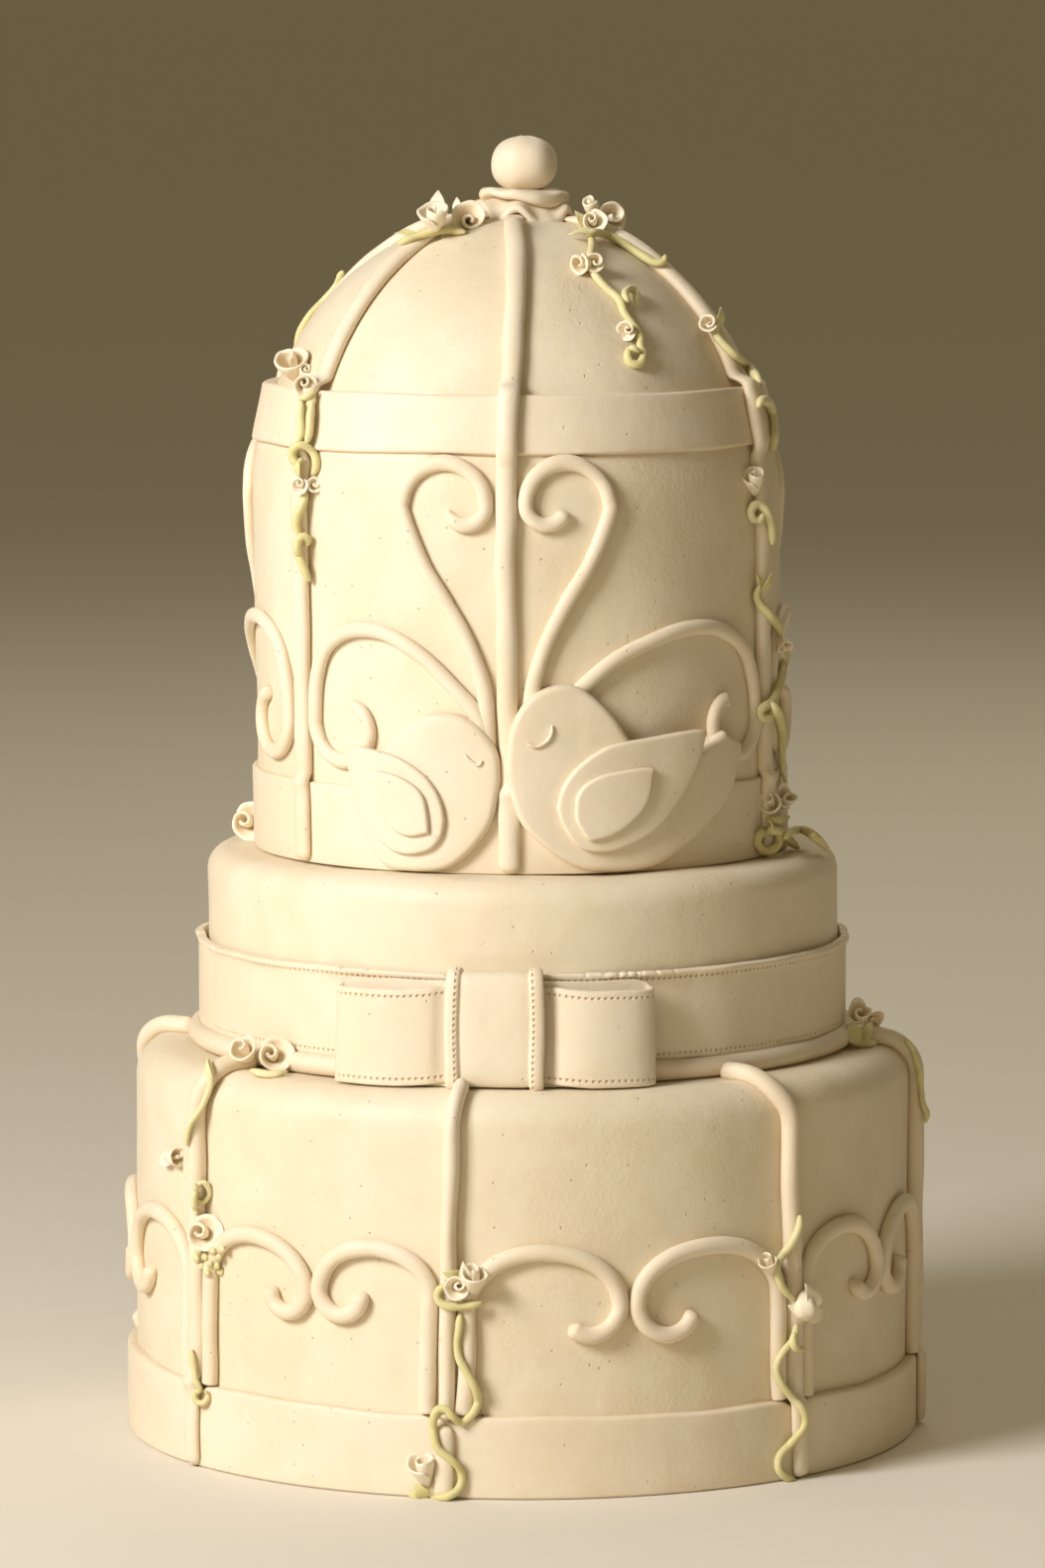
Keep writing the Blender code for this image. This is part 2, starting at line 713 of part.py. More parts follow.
def bottom_rib_route(letter):
    """From the base band up the wall, over the rounded edge and in to the roll or the bow."""
    over = band_rise(rib_angle(letter, 20.0))
    corner = list(BOTTOM.runs[1:6])
    start = BOW_LEDGE_START if letter == "c" else LEDGE_START
    end = corner[-1] + BOTTOM_RADIUS - BOTTOM_EDGE - start
    runs = [FOOT_CLEAR, over - 2, over + BAND_CLIMB[1], over + BAND_CLIMB[0], 70.0, 110.0]
    runs += [run for run in corner if run < end - 2] + [end]
    return [(rib_angle(letter, run), run) for run in runs]


def cage_rib_angle(key, run):
    """The angle of a cage rib's centre at a run: it turns a little between the wall and the dome."""
    foot, crown = CAGE_RIBS[key]
    return foot + (crown - foot) * ramp(run, *CAGE_RIB_TURN)


def cage_rib_route(key):
    """From under the cap down the dome, over the rim band and down the wall."""
    foot_top = CAGE_BASE + CAGE_FOOT_RISE
    low, high = rim_runs()
    runs = [CAGE_BASE + FOOT_CLEAR, foot_top - 3, foot_top + BAND_CLIMB[1], foot_top + BAND_CLIMB[0], 320.0, 355.0]
    runs += list(CAGE.runs[1:3]) + [low - RIM_CLIMB_LOW[0], low - RIM_CLIMB_LOW[1], (low + high) / 2]
    runs += [high + RIM_CLIMB_HIGH[1], high + RIM_CLIMB_HIGH[0]]
    runs += list(CAGE.runs[5:-1])
    return [(cage_rib_angle(key, run), run) for run in runs]


# How much narrower and lower a rib is at its rounded ends, and how much lower over a band
RIB_END = 0.82
RIB_PRESS = 2.8
CAGE_RIB_PRESS = 1.2


def rib_rings(surface, route, width, height, base, grow=0.0):
    """A rib's sections, thinner where it runs over a band, and rounded off at its ends."""
    rings = []
    for i, place in enumerate(route):
        ends = RIB_END if i in (0, len(route) - 1) and not grow else 1.0
        near = route[max(i - 1, 0) : i + 2]
        ring = rope_rings(surface, near, width * ends, height(place[1]) * ends, base, grow=grow)
        rings.append(ring[min(i, 1)])
    return rings


def bottom_rib_height(run):
    return RIB_HEIGHT - RIB_PRESS * ramp(run, BAND_RISE + 5, BAND_RISE - 3)


def cage_rib_height(run):
    foot_top = CAGE_BASE + CAGE_FOOT_RISE
    return crown_thin(run) - CAGE_RIB_PRESS * ramp(run, foot_top, foot_top - 5)


# Scrolls


def panel_scroll(reach, foot, top, sweep, curl):
    """One rope of a panel's pair, from the band beside a rib: up, over, and curling in at mid-panel."""
    near = RIB_WIDTH / 2 + SCROLL_WIDTH / 2 + 2 * GAP
    half = (reach - near) / 2
    spring = top - 0.8 * half if half < 28 else top - 22.5
    points = [(near, foot), (near, (foot + spring) / 2)]
    for turn in np.radians(np.linspace(180, 0, 6)):
        points.append((near + half * (1 + math.cos(turn)), spring + (top - spring) * math.sin(turn)))
    return points + arc((reach - curl, spring), curl, 0, -sweep, 5, radius_end=0.72 * curl)[1:]


# How far the two ropes of a panel run into each other where they meet
PAIR_OVERLAP = 0.8
# Each panel: the ribs at its sides, how far each rope's curl turns, its share of the rope's reach as a
# radius, and where the two ropes meet
PANELS = {
    "ab": ("a", "b", (170, 170), (0.2, 0.2), 0.5),
    "bc": ("b", "c", (190, 185), (0.16, 0.2), 0.52),
    "cd": ("c", "d", (130, 160), (0.2, 0.2), 0.49),
    "de": ("d", "e", (150, 185), (0.2, 0.2), 0.49),
    "ef": ("e", "f", (170, 150), (0.2, 0.18), 0.5),
    "fg": ("f", "g", (180, 160), (0.19, 0.2), 0.49),
    "gh": ("g", "h", (150, 180), (0.2, 0.18), 0.51),
    "ha": ("h", "a", (170, 170), (0.2, 0.2), 0.5),
}


def panel_routes(key):
    """The two ropes of a panel as (angle, run) points."""
    left, right, sweeps, curls, share = PANELS[key]
    middle = 80.0
    width = math.radians((rib_angle(right, middle) - rib_angle(left, middle)) % 360) * BOTTOM_RADIUS
    touching = SCROLL_WIDTH / 2 - PAIR_OVERLAP
    reaches = width * share - touching, width * (1 - share) - touching
    routes = []
    for letter, hand, reach, sweep, curl in zip((left, right), (1, -1), reaches, sweeps, curls):
        foot = band_rise(rib_angle(letter, 30) + hand * 3) + 0.5
        route = []
        for side, rise in panel_scroll(reach, foot, 100.0, sweep, curl * reach):
            route.append((rib_angle(letter, rise) + math.degrees(hand * side / BOTTOM_RADIUS), rise))
        routes.append(route)
    return routes


def build_scroll_pair(key, trim):
    """The two ropes of a panel, joined where they touch."""
    pieces = []
    for route in panel_routes(key):
        rings = rope_rings(BOTTOM, route, SCROLL_WIDTH, SCROLL_HEIGHT, section=SLIM_SECTION)
        pieces.append(loft("rope", rings, trim))
    fuse("scrolls_" + key, pieces)


def heart_curve(hand):
    """A heart scroll beside a cage rib, as (side, height)."""
    stem = [(8.0, 289.0), (8.2, 316.0), (17.2, 342.0), (33.6, 371.0)]
    lobe = arc((25.0, 394.2), 17.2, -24, 172, 7)
    curl = arc((16.4, 394.6), 8.6, 186, 345, 4, radius_end=7.4)
    points = [tuple(p) for p in smooth_route(stem + lobe[:1], 16.0)][:-1]
    return [(hand * side, rise) for side, rise in points + lobe + curl]


# How far above the cage's foot a loop's curl flattens, clear of the foot band
LOOP_CLEAR = 40.9


def loop_curve(hand, reach):
    """A loop scroll: it leaves the rib, arches over and curls in above the foot band."""
    climb = [(8.0 / reach, 292.0), (0.14, 309.0), (0.31, 327.0), (0.45, 336.5), (0.61, 342.5)]
    climb += [(0.78, 342.0), (0.92, 334.0), (0.985, 320.0)]
    points = [(share * reach, height) for share, height in climb]
    curl = arc((reach - 17.6, 303.5), 17.6, 5, -262, 9, radius_end=8.6)
    points = [tuple(p) for p in smooth_route(points + curl[:1], 15.0)][:-1]
    curl = [(side, max(height, CAGE_BASE + LOOP_CLEAR)) for side, height in curl]
    return [(hand * side, height) for side, height in points + curl]


def cage_routes(key, hand):
    """A side's heart and loop as (angle, run) points."""
    centre, reach_left, reach_right = CAGE_MOTIFS[key]
    routes = []
    for curve in (heart_curve(hand), loop_curve(hand, reach_left if hand < 0 else reach_right)):
        route = []
        for side, height in curve:
            route.append((centre + math.degrees(side / CAGE_RADIUS), CAGE.run_at(height)))
        routes.append(route)
    return routes


def cage_scroll_base(angle, run):
    """The ropes bend round the wall in short straight steps, so they stand a little further off it."""
    return GAP + 0.15


def build_cage_scrolls(trim):
    """Each side's heart and loop, joined at their foot beside the rib."""
    for key in CAGE_MOTIFS:
        for word, hand in (("left", -1), ("right", 1)):
            pieces = []
            for route in cage_routes(key, hand):
                rings = rope_rings(CAGE, route, CURL_WIDTH, CURL_HEIGHT, cage_scroll_base, SLIM_SECTION)
                pieces.append(loft("rope", rings, trim))
            fuse(f"cage_scroll_{key}_{word}", pieces)


# The lovebirds

# Upper and lower edges of each plate as (side, height), side being the distance from the front rib's
# centre towards the tail: each bird was cut by hand, so the left one is lower and shorter
BIRDS = {
    "left": {
        "body": (
            [(3.2, 284), (3.6, 292.7), (5.2, 297.5), (8.8, 303), (13.3, 307.1), (19.3, 310.1), (24.6, 310.6),
             (32, 309.8), (39.2, 305.9), (45.4, 300.4), (51, 294.9), (60, 291), (66.4, 288.3)],
            [(3.2, 284), (4.6, 275.4), (6.8, 267.1), (11.4, 259.4), (18, 252.3), (24.7, 248), (32.9, 246.4),
             (40, 246.2), (47.2, 246.6), (53, 250), (58.2, 258.9), (62.4, 270.7), (65.6, 282.6), (66.4, 287)],
        ),
        "wing": (
            [(24.2, 267.7), (25.2, 273.9), (27.8, 280.1), (31.8, 285.5), (37.2, 289.7), (44.1, 293.2),
             (52.8, 295.2), (60.7, 295.7)],
            [(24.2, 267.7), (25.5, 261.5), (29.2, 256.5), (34.5, 254.2), (40, 253.6), (47, 255.5),
             (53.8, 262.3), (59, 275.3), (60.7, 289)],
        ),
        "inner": (
            [(29.6, 263), (29.9, 268.5), (31, 275.4), (33, 279.5), (37.6, 283.4), (44.4, 286.2), (51.5, 286.8)],
            [(29.6, 262.4), (36.3, 261.3), (42, 262.5), (47, 267), (50.2, 275), (51.5, 282)],
        ),
    },
    "right": {
        "body": (
            [(-0.8, 290), (0.4, 302.2), (3.4, 310.8), (8.8, 317.9), (14.8, 321.1), (21.6, 322.5), (28.4, 321.3),
             (36.1, 315.3), (42.5, 307.9), (48.7, 299.1), (60, 292), (72, 292), (81.8, 295.3), (86, 297.1),
             (92.3, 300.6), (96.9, 298.1), (103, 295)],
            [(-0.8, 290), (-0.5, 284.3), (1.4, 275.7), (4.8, 266.4), (11.5, 258.5), (20.3, 251.9), (29.2, 247.7),
             (39, 246.6), (49.9, 246.8), (58.2, 248.1), (65.3, 251.3), (76.2, 257.7), (86.1, 264.9),
             (95, 273.6), (101.4, 285.3), (103, 293)],
        ),
        "wing": (
            [(18.2, 273.1), (19.2, 278.8), (21.8, 284.5), (26.5, 290.1), (33.9, 295.6), (41.5, 298.6),
             (59.6, 301), (70.5, 302.1), (78.9, 301.9)],
            [(18.2, 273.1), (18.9, 269.5), (20.5, 265.1), (24.5, 258.6), (29.2, 255.6), (36.7, 255),
             (42.2, 256.2), (50.8, 259.7), (59.6, 265.7), (69, 276.6), (75.5, 287.7), (78.9, 297)],
        ),
        "inner": (
            [(24.4, 271.8), (25, 277.5), (28, 282.5), (34.6, 286.2), (44.1, 288), (54.6, 288.5)],
            [(24.4, 271.8), (24.7, 268.2), (26.7, 263.9), (29.3, 260.2), (33.3, 260.4), (38.6, 262),
             (44.1, 265.4), (49.7, 270.8), (53.2, 277.1), (54.6, 285)],
        ),
    },
}
BODY_LIFT = 7.4
WING_LIFT = 10.4
INNER_LIFT = 12.8
# How much higher the right bird's body stands where it lies over the front rib
OVER_RIB = 1.9


def plate(name, centre, hand, edges, low, high, edge, trim, count, over_rib=0.0):
    """A plate that follows the cage's wall: a rounded slab between an upper and a lower edge line."""
    upper, lower = (np.array(points, float) for points in edges)
    first, last = upper[0, 0], upper[-1, 0]
    rings = []
    for i, side in enumerate(first + (last - first) * (0.5 - 0.5 * np.cos(np.linspace(0.0, math.pi, count)))):
        top, foot = np.interp(side, *upper.T), np.interp(side, *lower.T)
        crest = high + over_rib * max(0.0, 1 - max(side, 0.0) / 26.0)
        if i in (0, count - 1):
            crest -= 0.6 * edge
        middle, half = (top + foot) / 2, max((top - foot) / 2, 0.9)
        inner = max(half - edge, 0.3 * half)
        section = [(-half, low), (-half, crest - edge), (-inner, crest)]
        section += [(inner, crest), (half, crest - edge), (half, low)]
        angle = centre + math.degrees(hand * side / CAGE_RADIUS)
        rings.append([CAGE.point(angle, middle + rise, lift) for rise, lift in section])
    return loft(name, rings, trim)


def bird_grooves(hand, trim):
    """What a body lies over: its side's two ropes, the foot band and the front rib, each a gap larger."""
    cutters = []
    for route in cage_routes("front", hand):
        rings = rope_rings(CAGE, route, CURL_WIDTH, CURL_HEIGHT, cage_scroll_base, SLIM_SECTION, GAP)
        cutters.append(loft("groove", rings, trim))
    low, top = CAGE_BASE - 3, CAGE_BASE + CAGE_FOOT_RISE + GAP
    near, far = CAGE_RADIUS - 3, CAGE_RADIUS + CAGE_FOOT_THICK + 2 * GAP
    section = [(near, low), (far, low), (far, top), (near, top)]
    turns = np.arange(-7, 9) * 360 / SEGMENTS
    rings = [[CAGE.place(angle, *place) for place in section] for angle in turns]
    cutters.append(loft("groove", rings, trim))
    route = cage_rib_route("front")[:7]
    rings = rib_rings(CAGE, route, CAGE_RIB_WIDTH, cage_rib_height, cage_lift, GAP)
    cutters.append(loft("groove", rings, trim))
    return cutters


def build_birds(trim):
    """Each bird: a body over the scrolls and the foot band, a wing on it and a small wing on that."""
    centre = CAGE_MOTIFS["front"][0]
    for word, hand in (("left", -1), ("right", 1)):
        edges = BIRDS[word]
        over_rib = OVER_RIB if word == "right" else 0.0
        body = plate(f"bird_{word}_body", centre, hand, edges["body"], 0.5, BODY_LIFT, 2.4, trim, 15, over_rib)
        cut(body, bird_grooves(hand, trim))
        plate(f"bird_{word}_wing", centre, hand, edges["wing"], BODY_LIFT + GAP + over_rib * 0.35,
              WING_LIFT, 1.0, trim, 9)
        plate(f"bird_{word}_inner_wing", centre, hand, edges["inner"], WING_LIFT + GAP, INNER_LIFT, 0.9, trim, 7)


# The cap

CAP_X = 0.4
CAP_TILT = 0.04
RUFFLE_COUNT = 30
BALL_RADIUS = 13.6
BALL_HALF_HEIGHT = 11.2
BALL_CENTRE = 529.4


def ruffle_crest(angle):
    """A ruffle crests over each cage rib and dips between them."""
    crest = 0.0
    for _, crown in CAGE_RIBS.values():
        x, y, _ = CAGE.place(crown, 18.0, CAGE_FOOT + CAGE_LEAN_RISE)
        away = abs((angle - math.degrees(math.atan2(x - CAP_X, -y)) + 180) % 360 - 180)
        crest = max(crest, 0.5 + 0.5 * math.cos(math.pi * min(away / 27.0, 1.0)))
    return crest


def ruffle(name, radius, base, wave, thick, material):
    """A soft disc with a wavy rim, a little higher at its left."""
    rings = []
    for share, up in ((0.62, 0.0), (0.96, 0.0), (1.0, 0.8), (0.62, 1.0)):
        ring = []
        for k in range(RUFFLE_COUNT):
            angle = 360 * k / RUFFLE_COUNT
            turn = math.radians(angle)
            rim = ramp(share, 0.6, 0.9)
            reach = radius * share * (1 + 0.03 * math.sin(5 * turn))
            side = reach * math.sin(turn)
            height = base + wave * (1 + (ruffle_crest(angle) - 1) * rim) + thick * up - CAP_TILT * side
            ring.append(np.array([CAP_X + side, -reach * math.cos(turn), height]))
        rings.append(ring)
    return loft(name, rings, material)


def build_cap(trim):
    ruffle("cap_ruffle_lower", 21.0, 506.6, 3.6, 3.2, trim)
    ruffle("cap_ruffle_upper", 18.4, 513.8, 0.5, 3.6, trim)
    rings = []
    for turn in np.radians(np.linspace(-78, 78, 9)):
        radius, height = BALL_RADIUS * math.cos(turn), BALL_CENTRE + BALL_HALF_HEIGHT * math.sin(turn)
        ring = []
        for way in np.linspace(0, 2 * math.pi, 14, endpoint=False):
            ring.append(np.array([CAP_X + 0.4 + radius * math.sin(way), -radius * math.cos(way), height]))
        rings.append(ring)
    loft("cap_ball", rings, trim)


# Vines and roses


def ring_curl(side, rise, radius, start, sweep, steps=5):
    """A vine's open curl, as (side, rise) points."""
    return arc((side, rise), radius, start, start + sweep, steps)


# Each rib's vines as (side, run) points, side being the distance from the rib's centre
BOTTOM_VINES = {
    "a": [[(2, 134), (-3, 122), (-2, 110), (3, 99)]],
    "b": [
        [(0, 168), (2.5, 160), (0.5, 153), (-4.5, 144), (-6, 132)],
        ring_curl(1.5, 115, 2.9, -30, 250) + [(-3.5, 109), (-1, 104)],
        [(1, 50), (2, 43), (0, 37)] + ring_curl(2.5, 31.5, 2.6, 140, -250),
    ],
    "c": [
        [(0, 88), (-4.5, 85), (-5.5, 80), (-2, 77.5), (3, 77), (9, 78.5), (12.5, 78)],
        [(4.3, 76), (4.4, 69), (3.3, 62), (4, 55.5), (8, 48.5), (11.3, 43), (13, 37.3), (11, 31.5), (6.4, 29.3),
         (4, 32.5), (0.6, 34.8), (-4, 33.5), (-5.2, 28), (-4.4, 22.6), (-1, 18.4), (3.2, 16.6), (5.8, 12),
         (5.4, 6.5), (1.9, 3.8), (-4.4, 3.4), (-12, 4)],
    ],
    "d": [
        [(6, 110.4), (6.6, 105), (3.5, 99.5), (-4, 93), (-6.3, 86.6), (-5.5, 80), (2.5, 75.3)],
        [(4.5, 68), (3, 61.6), (-3.5, 55.2), (-5, 49.5), (-2, 43.9), (5.5, 39), (8.5, 33.4), (7.5, 27.8),
         (0, 22), (-5, 15.7), (-3.5, 10.4), (3.5, 7)],
    ],
    "e": [[(-2, 172), (-3, 163), (-2.5, 154), (-2, 144), (0, 136), (4, 132)]],
    "f": [[(0, 166), (4, 157), (-2, 147), (-4, 138), (1, 129)]],
    "g": [[(3, 122), (-3, 111), (-2, 100), (3, 88)]],
    "h": [[(4, 62), (0, 54), (-4, 46), (-2, 36)]],
}
# Small roses that are part of their rib: side, run, radius, height and lean
BOTTOM_BUDS = {
    "a": [(3, 97, 4.0, 7.0, (0.3, 0.2))],
    "b": [(-6.5, 132, 3.6, 8.0, (-0.8, -0.5))],
    "d": [(-6.5, 88, 3.0, 8.5, (-0.6, 0.9))],
    "f": [(0, 126, 4.8, 8.0, (0.2, 0.3))],
    "g": [(0, 127, 5.6, 8.0, (-0.2, 0.2))],
    "h": [(1, 68, 5.4, 8.0, (0.2, 0.2))],
}
# Leaves that are part of their rib: side, run, heading, length and width
BOTTOM_LEAVES = {
    "b": [(1, 88, -60, 9, 6)],
    "c": [(-1, 88, 100, 8, 5)],
    "e": [(2, 134, -60, 8, 5)],
}

CAGE_VINES = {
    "front": [],
    "left": [
        [(1, 440), (5.5, 432), (6, 420), (3, 413), (-1, 408), (1, 402), (4.5, 397), (5, 391), (2, 384), (0, 379),
         (4, 373), (2, 367), (6.5, 360)],
    ],
    "right": [
        [(-3.5, 462), (-4, 455), (0, 451), (4, 447)],
        ring_curl(-0.5, 435, 2.9, 270, -250) + [(4, 428), (4.5, 419), (3.5, 411)],
        ring_curl(-0.5, 394, 2.9, 270, -250) + [(4, 388), (3.5, 381)],
        [(-3, 364), (-4, 354), (-1, 347), (3.5, 341), (5, 330), (5, 320), (4, 311)]
        + ring_curl(-1, 306, 2.8, 30, 230) + [(4, 299), (5, 290), (4, 282)],
        ring_curl(-1.5, 255, 3.6, 110, 240) + [(4, 256), (6, 250)],
    ],
    "back_right": [[(3, 380), (-3, 371), (-4, 362), (3, 354), (4, 345)]],
    "back": [[(2, 410), (-3, 402), (0, 392), (4, 382)]],
    "back_left": [[(0, 488), (-4, 478), (2, 465), (-1, 452)]],
}
CAGE_BUDS = {
    "left": [(4.5, 398, 3.2, 5.0, (0.0, 0.6))],
    "right": [(-3.5, 464, 3.0, 5.0, (-0.5, 0.2)), (5.5, 334, 3.2, 8.0, (0.5, -0.7))],
    "back_right": [(3, 342, 4.4, 7.0, (0.3, -0.3))],
    "back": [(2, 414, 4.8, 7.0, (0.2, 0.3))],
    "back_left": [(0, 449, 4.8, 7.0, (-0.2, 0.2))],
}
CAGE_LEAVES = {
    "right": [(2, 449, -40, 8, 4), (-2, 362, 80, 8, 5), (4, 296, -80, 12, 5)],
}


def beside(surface, angle_at, points):
    """Points given beside a rib's centre as (angle, run)."""
    return [surface.off(angle_at(run), run, side, 0.0) for side, run in points]


def grow(name, relief, body, own, stems, roses, leaves, icings):
    """A rib or a cluster with its vines, roses and leaves as one body."""
    petals, green = icings
    pieces = [body] if body else []
    draped = [drape(relief, route, VINE_RADIUS, own) for route in stems]
    for route in draped:
        pieces.append(tube(relief.surface, route, VINE_RADIUS, green))
    for angle, run, radius, height, lean in roses:
        pieces.append(rose(relief, angle, run, radius, height, petals, lean, own))
    for angle, run, heading, length, width in leaves:
        pieces.append(leaf(relief, angle, run, heading, length, width, green, own))
    for route in draped:
        relief.add_vine(name + "_vine", route, VINE_RADIUS)
    return fuse(name, pieces)


def build_rib(name, relief, angle_at, rings, vines, buds, leaves, trim, icings):
    """A rib with the vines that wind round it."""
    surface = relief.surface
    stems = [beside(surface, angle_at, points) for points in vines]
    roses = [(*surface.off(angle_at(bud[1]), bud[1], bud[0], 0.0), *bud[2:]) for bud in buds]
    blades = [(*surface.off(angle_at(one[1]), one[1], one[0], 0.0), *one[2:]) for one in leaves]
    grow(name, relief, loft("rib", rings, trim), name, stems, roses, blades, icings)


def build_ribs(wall, cage, trim, icings):
    for letter in BOTTOM_RIBS:
        rings = rib_rings(BOTTOM, bottom_rib_route(letter), RIB_WIDTH, bottom_rib_height, base_band_lift)
        build_rib("rib_bottom_" + letter, wall, lambda run: rib_angle(letter, run), rings,
                  BOTTOM_VINES[letter], BOTTOM_BUDS.get(letter, []), BOTTOM_LEAVES.get(letter, []), trim, icings)
    for key in CAGE_RIBS:
        rings = rib_rings(CAGE, cage_rib_route(key), CAGE_RIB_WIDTH, cage_rib_height, cage_lift)
        build_rib("rib_cage_" + key, cage, lambda run: cage_rib_angle(key, run), rings,
                  CAGE_VINES[key], CAGE_BUDS.get(key, []), CAGE_LEAVES.get(key, []), trim, icings)


def ledge_run(surface, radius):
    """The run of a place on a tier's flat top."""
    return float(surface.runs[5] + surface.outline[5][0] - radius)


# Clusters and single roses: the vines' (angle, run) points, the roses as (angle, run, radius, height,
# lean) and the leaves as (angle, run, heading, length, width)
CAGE_ROSES = {
    "roses_crown_left": (
        [[(-64, 530), (-50, 532), (-38, 532), (-27, 531)]],
        [(-60, 530, 5.4, 12.0, (-0.2, 0.2)), (-29, 531, 6.4, 8.5, (0.2, -0.6)), (-45, 533, 3.6, 8.0, (-0.1, 0.3))],
        [],
    ),
    "roses_crown_right": (
        [
            [(60, 532), (48, 529), (40, 524), (36.4, 519), (34.4, 512), (28, 498), (29.5, 489), (31.5, 480),
             (33.4, 471), (34, 463), (31, 457.5), (32.6, 451), (35.5, 452.5)],
        ],
        [(58, 531, 5.2, 8.0, (0.6, -0.2)), (44, 527, 4.6, 8.0, (0.1, -0.6)), (51, 531, 4.0, 10.0, (0.0, 0.3)),
         (27, 498, 3.6, 7.5, (-0.9, -0.3)), (30, 498, 3.6, 7.5, (0.7, 0.2)), (33, 464, 3.6, 6.5, (-0.5, -0.2))],
        [(37, 519, 190, 10, 5)],
    ),
    "roses_dome_left": (
        [[(-61.5, 457), (-60, 451), (-56, 446), (-54, 441)]],
        [(-61.5, 452, 6.2, 8.5, (-0.5, 0.4)), (-54.5, 443, 5.2, 7.5, (0.5, -0.5))],
        [],
    ),
    "calla_cage_right": ([], [(62.4, 400, 4.6, 12.0, (-0.2, 2.2))], []),
    "roses_cage_foot_right": (
        [[(62.5, 268), (66, 267), (70, 268)]],
        [(62.8, 267, 4.6, 9.0, (-0.4, 0.9)), (69.5, 268, 5.0, 9.0, (0.4, 0.7))],
        [],
    ),
}
MIDDLE_ROSES = {
    "roses_middle_top_left": (
        [[(-98, 118.5), (-103, 120.5), (-108, 122)]],
        [(-98.5, 118.6, 4.6, 8.0, (0.3, -0.2)), (-107, 123, 5.0, 12.0, (-0.3, -0.2))],
        [],
    ),
}
LEDGE_ROSES = {
    "roses_foot_left": (
        [[(-44.2, 150), (-47.4, 149), (-51, 147.5), (-55, 147.5)]],
        [(-47.2, 149.5, 6.8, 9.0, (0.1, -0.3)), (-54, 148, 4.6, 8.0, (-0.4, 0.0))],
        [],
    ),
    "roses_foot_right": (
        [[(79, 149), (86, 148), (92, 149)]],
        [(86, 148.5, 5.0, 9.0, (0.2, 0.2)), (92, 150, 4.6, 8.0, (0.4, -0.2))],
        [],
    ),
}
WALL_ROSES = {
    "rose_rib_b": ([], [(-53.1, 98, 7.0, 8.5, (0.0, 0.3))], []),
    "roses_rib_c": (
        [[(-9.3, 84), (-7.5, 86), (-6, 88)]],
        [(-9.2, 84.5, 4.6, 6.5, (0.0, 0.4)), (-6.3, 86, 5.0, 12.0, (0.3, 1.8))],
        [],
    ),
    "cone_rose_rib_c": ([], [(-12.6, 6, 5.0, 13.0, (-0.5, 1.6))], []),
    "star_rose_rib_d": ([], [(44.4, 72, 4.8, 8.0, (0.3, 0.2))], []),
}


def build_roses(wall, cage, middle, icings):
    for relief, table in ((cage, CAGE_ROSES), (wall, WALL_ROSES)):
        for name, (stems, roses, leaves) in table.items():
            grow(name, relief, None, None, stems, roses, leaves, icings)
    for relief, table in ((middle, MIDDLE_ROSES), (wall, LEDGE_ROSES)):
        for name, (stems, roses, leaves) in table.items():
            surface = relief.surface
            stems = [[(angle, ledge_run(surface, radius)) for angle, radius in stem] for stem in stems]
            roses = [(one[0], ledge_run(surface, one[1]), *one[2:]) for one in roses]
            leaves = [(one[0], ledge_run(surface, one[1]), *one[2:]) for one in leaves]
            grow(name, relief, None, None, stems, roses, leaves, icings)


def clear_scene():
    for old in list(bpy.data.objects):
        bpy.data.objects.remove(old)


def bottom_floor(angle, run):
    return base_band_lift(angle, run) - GAP


def cage_floor(angle, run):
    return cage_lift(angle, run) - GAP


def middle_floor(angle, run):
    return 0.0


def rest_on_wall(angle, run):
    return GAP


def build_reliefs():
    """The ribs and scrolls of the bottom tier and of the cage, as the ground for vines and roses."""
    wall, cage = Relief(BOTTOM, bottom_floor), Relief(CAGE, cage_floor)
    for letter in BOTTOM_RIBS:
        wall.add("rib_bottom_" + letter, bottom_rib_route(letter), RIB_WIDTH, bottom_rib_height,
                 base_band_lift, RIB_FULLNESS)
    for key in PANELS:
        for route in panel_routes(key):
            wall.add("scrolls", route, SCROLL_WIDTH, lambda run: SCROLL_HEIGHT, rest_on_wall, SCROLL_FULLNESS)
    for key in CAGE_RIBS:
        cage.add("rib_cage_" + key, cage_rib_route(key), CAGE_RIB_WIDTH, cage_rib_height, cage_lift,
                 RIB_FULLNESS)
    for key in CAGE_MOTIFS:
        for hand in (-1, 1):
            for route in cage_routes(key, hand):
                cage.add("scrolls", route, CURL_WIDTH, lambda run: CURL_HEIGHT, cage_scroll_base,
                         SCROLL_FULLNESS)
    return wall, cage


def main():
    clear_scene()
    icing = make_material("tier_icing", IVORY)
    trim = make_material("trim_icing", TRIM_IVORY)
    petals = make_material("rose_icing", ROSE_IVORY)
    green = make_material("vine_icing", VINE_GREEN)
    wall_relief, cage_relief = build_reliefs()

    build_tiers(icing)
    build_bands(trim)
    build_bow(trim)
    build_ribs(wall_relief, cage_relief, trim, (petals, green))
    build_roses(wall_relief, cage_relief, Relief(MIDDLE, middle_floor), (petals, green))
    for key in PANELS:
        build_scroll_pair(key, trim)
    build_cage_scrolls(trim)
    build_birds(trim)
    build_cap(trim)


main()
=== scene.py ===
"""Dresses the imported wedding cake: rolled icing, a birdcage tier, lovebirds, vines and sugar roses.

Lengths are in millimetres until a skin becomes a mesh, which is in metres. An angle is measured round the
cake in degrees, from the front (-Y) towards +X. A run is the distance up a tier's outline, which on an
upright wall is the height, and a lift is the distance off that outline.
"""

import logging
import math
import operator
from collections.abc import Callable, Iterable, Sequence
from dataclasses import dataclass, field
from enum import Enum
from functools import reduce
from typing import Any

import bmesh
import bpy
import numpy as np
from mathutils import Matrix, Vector
from mathutils.bvhtree import BVHTree


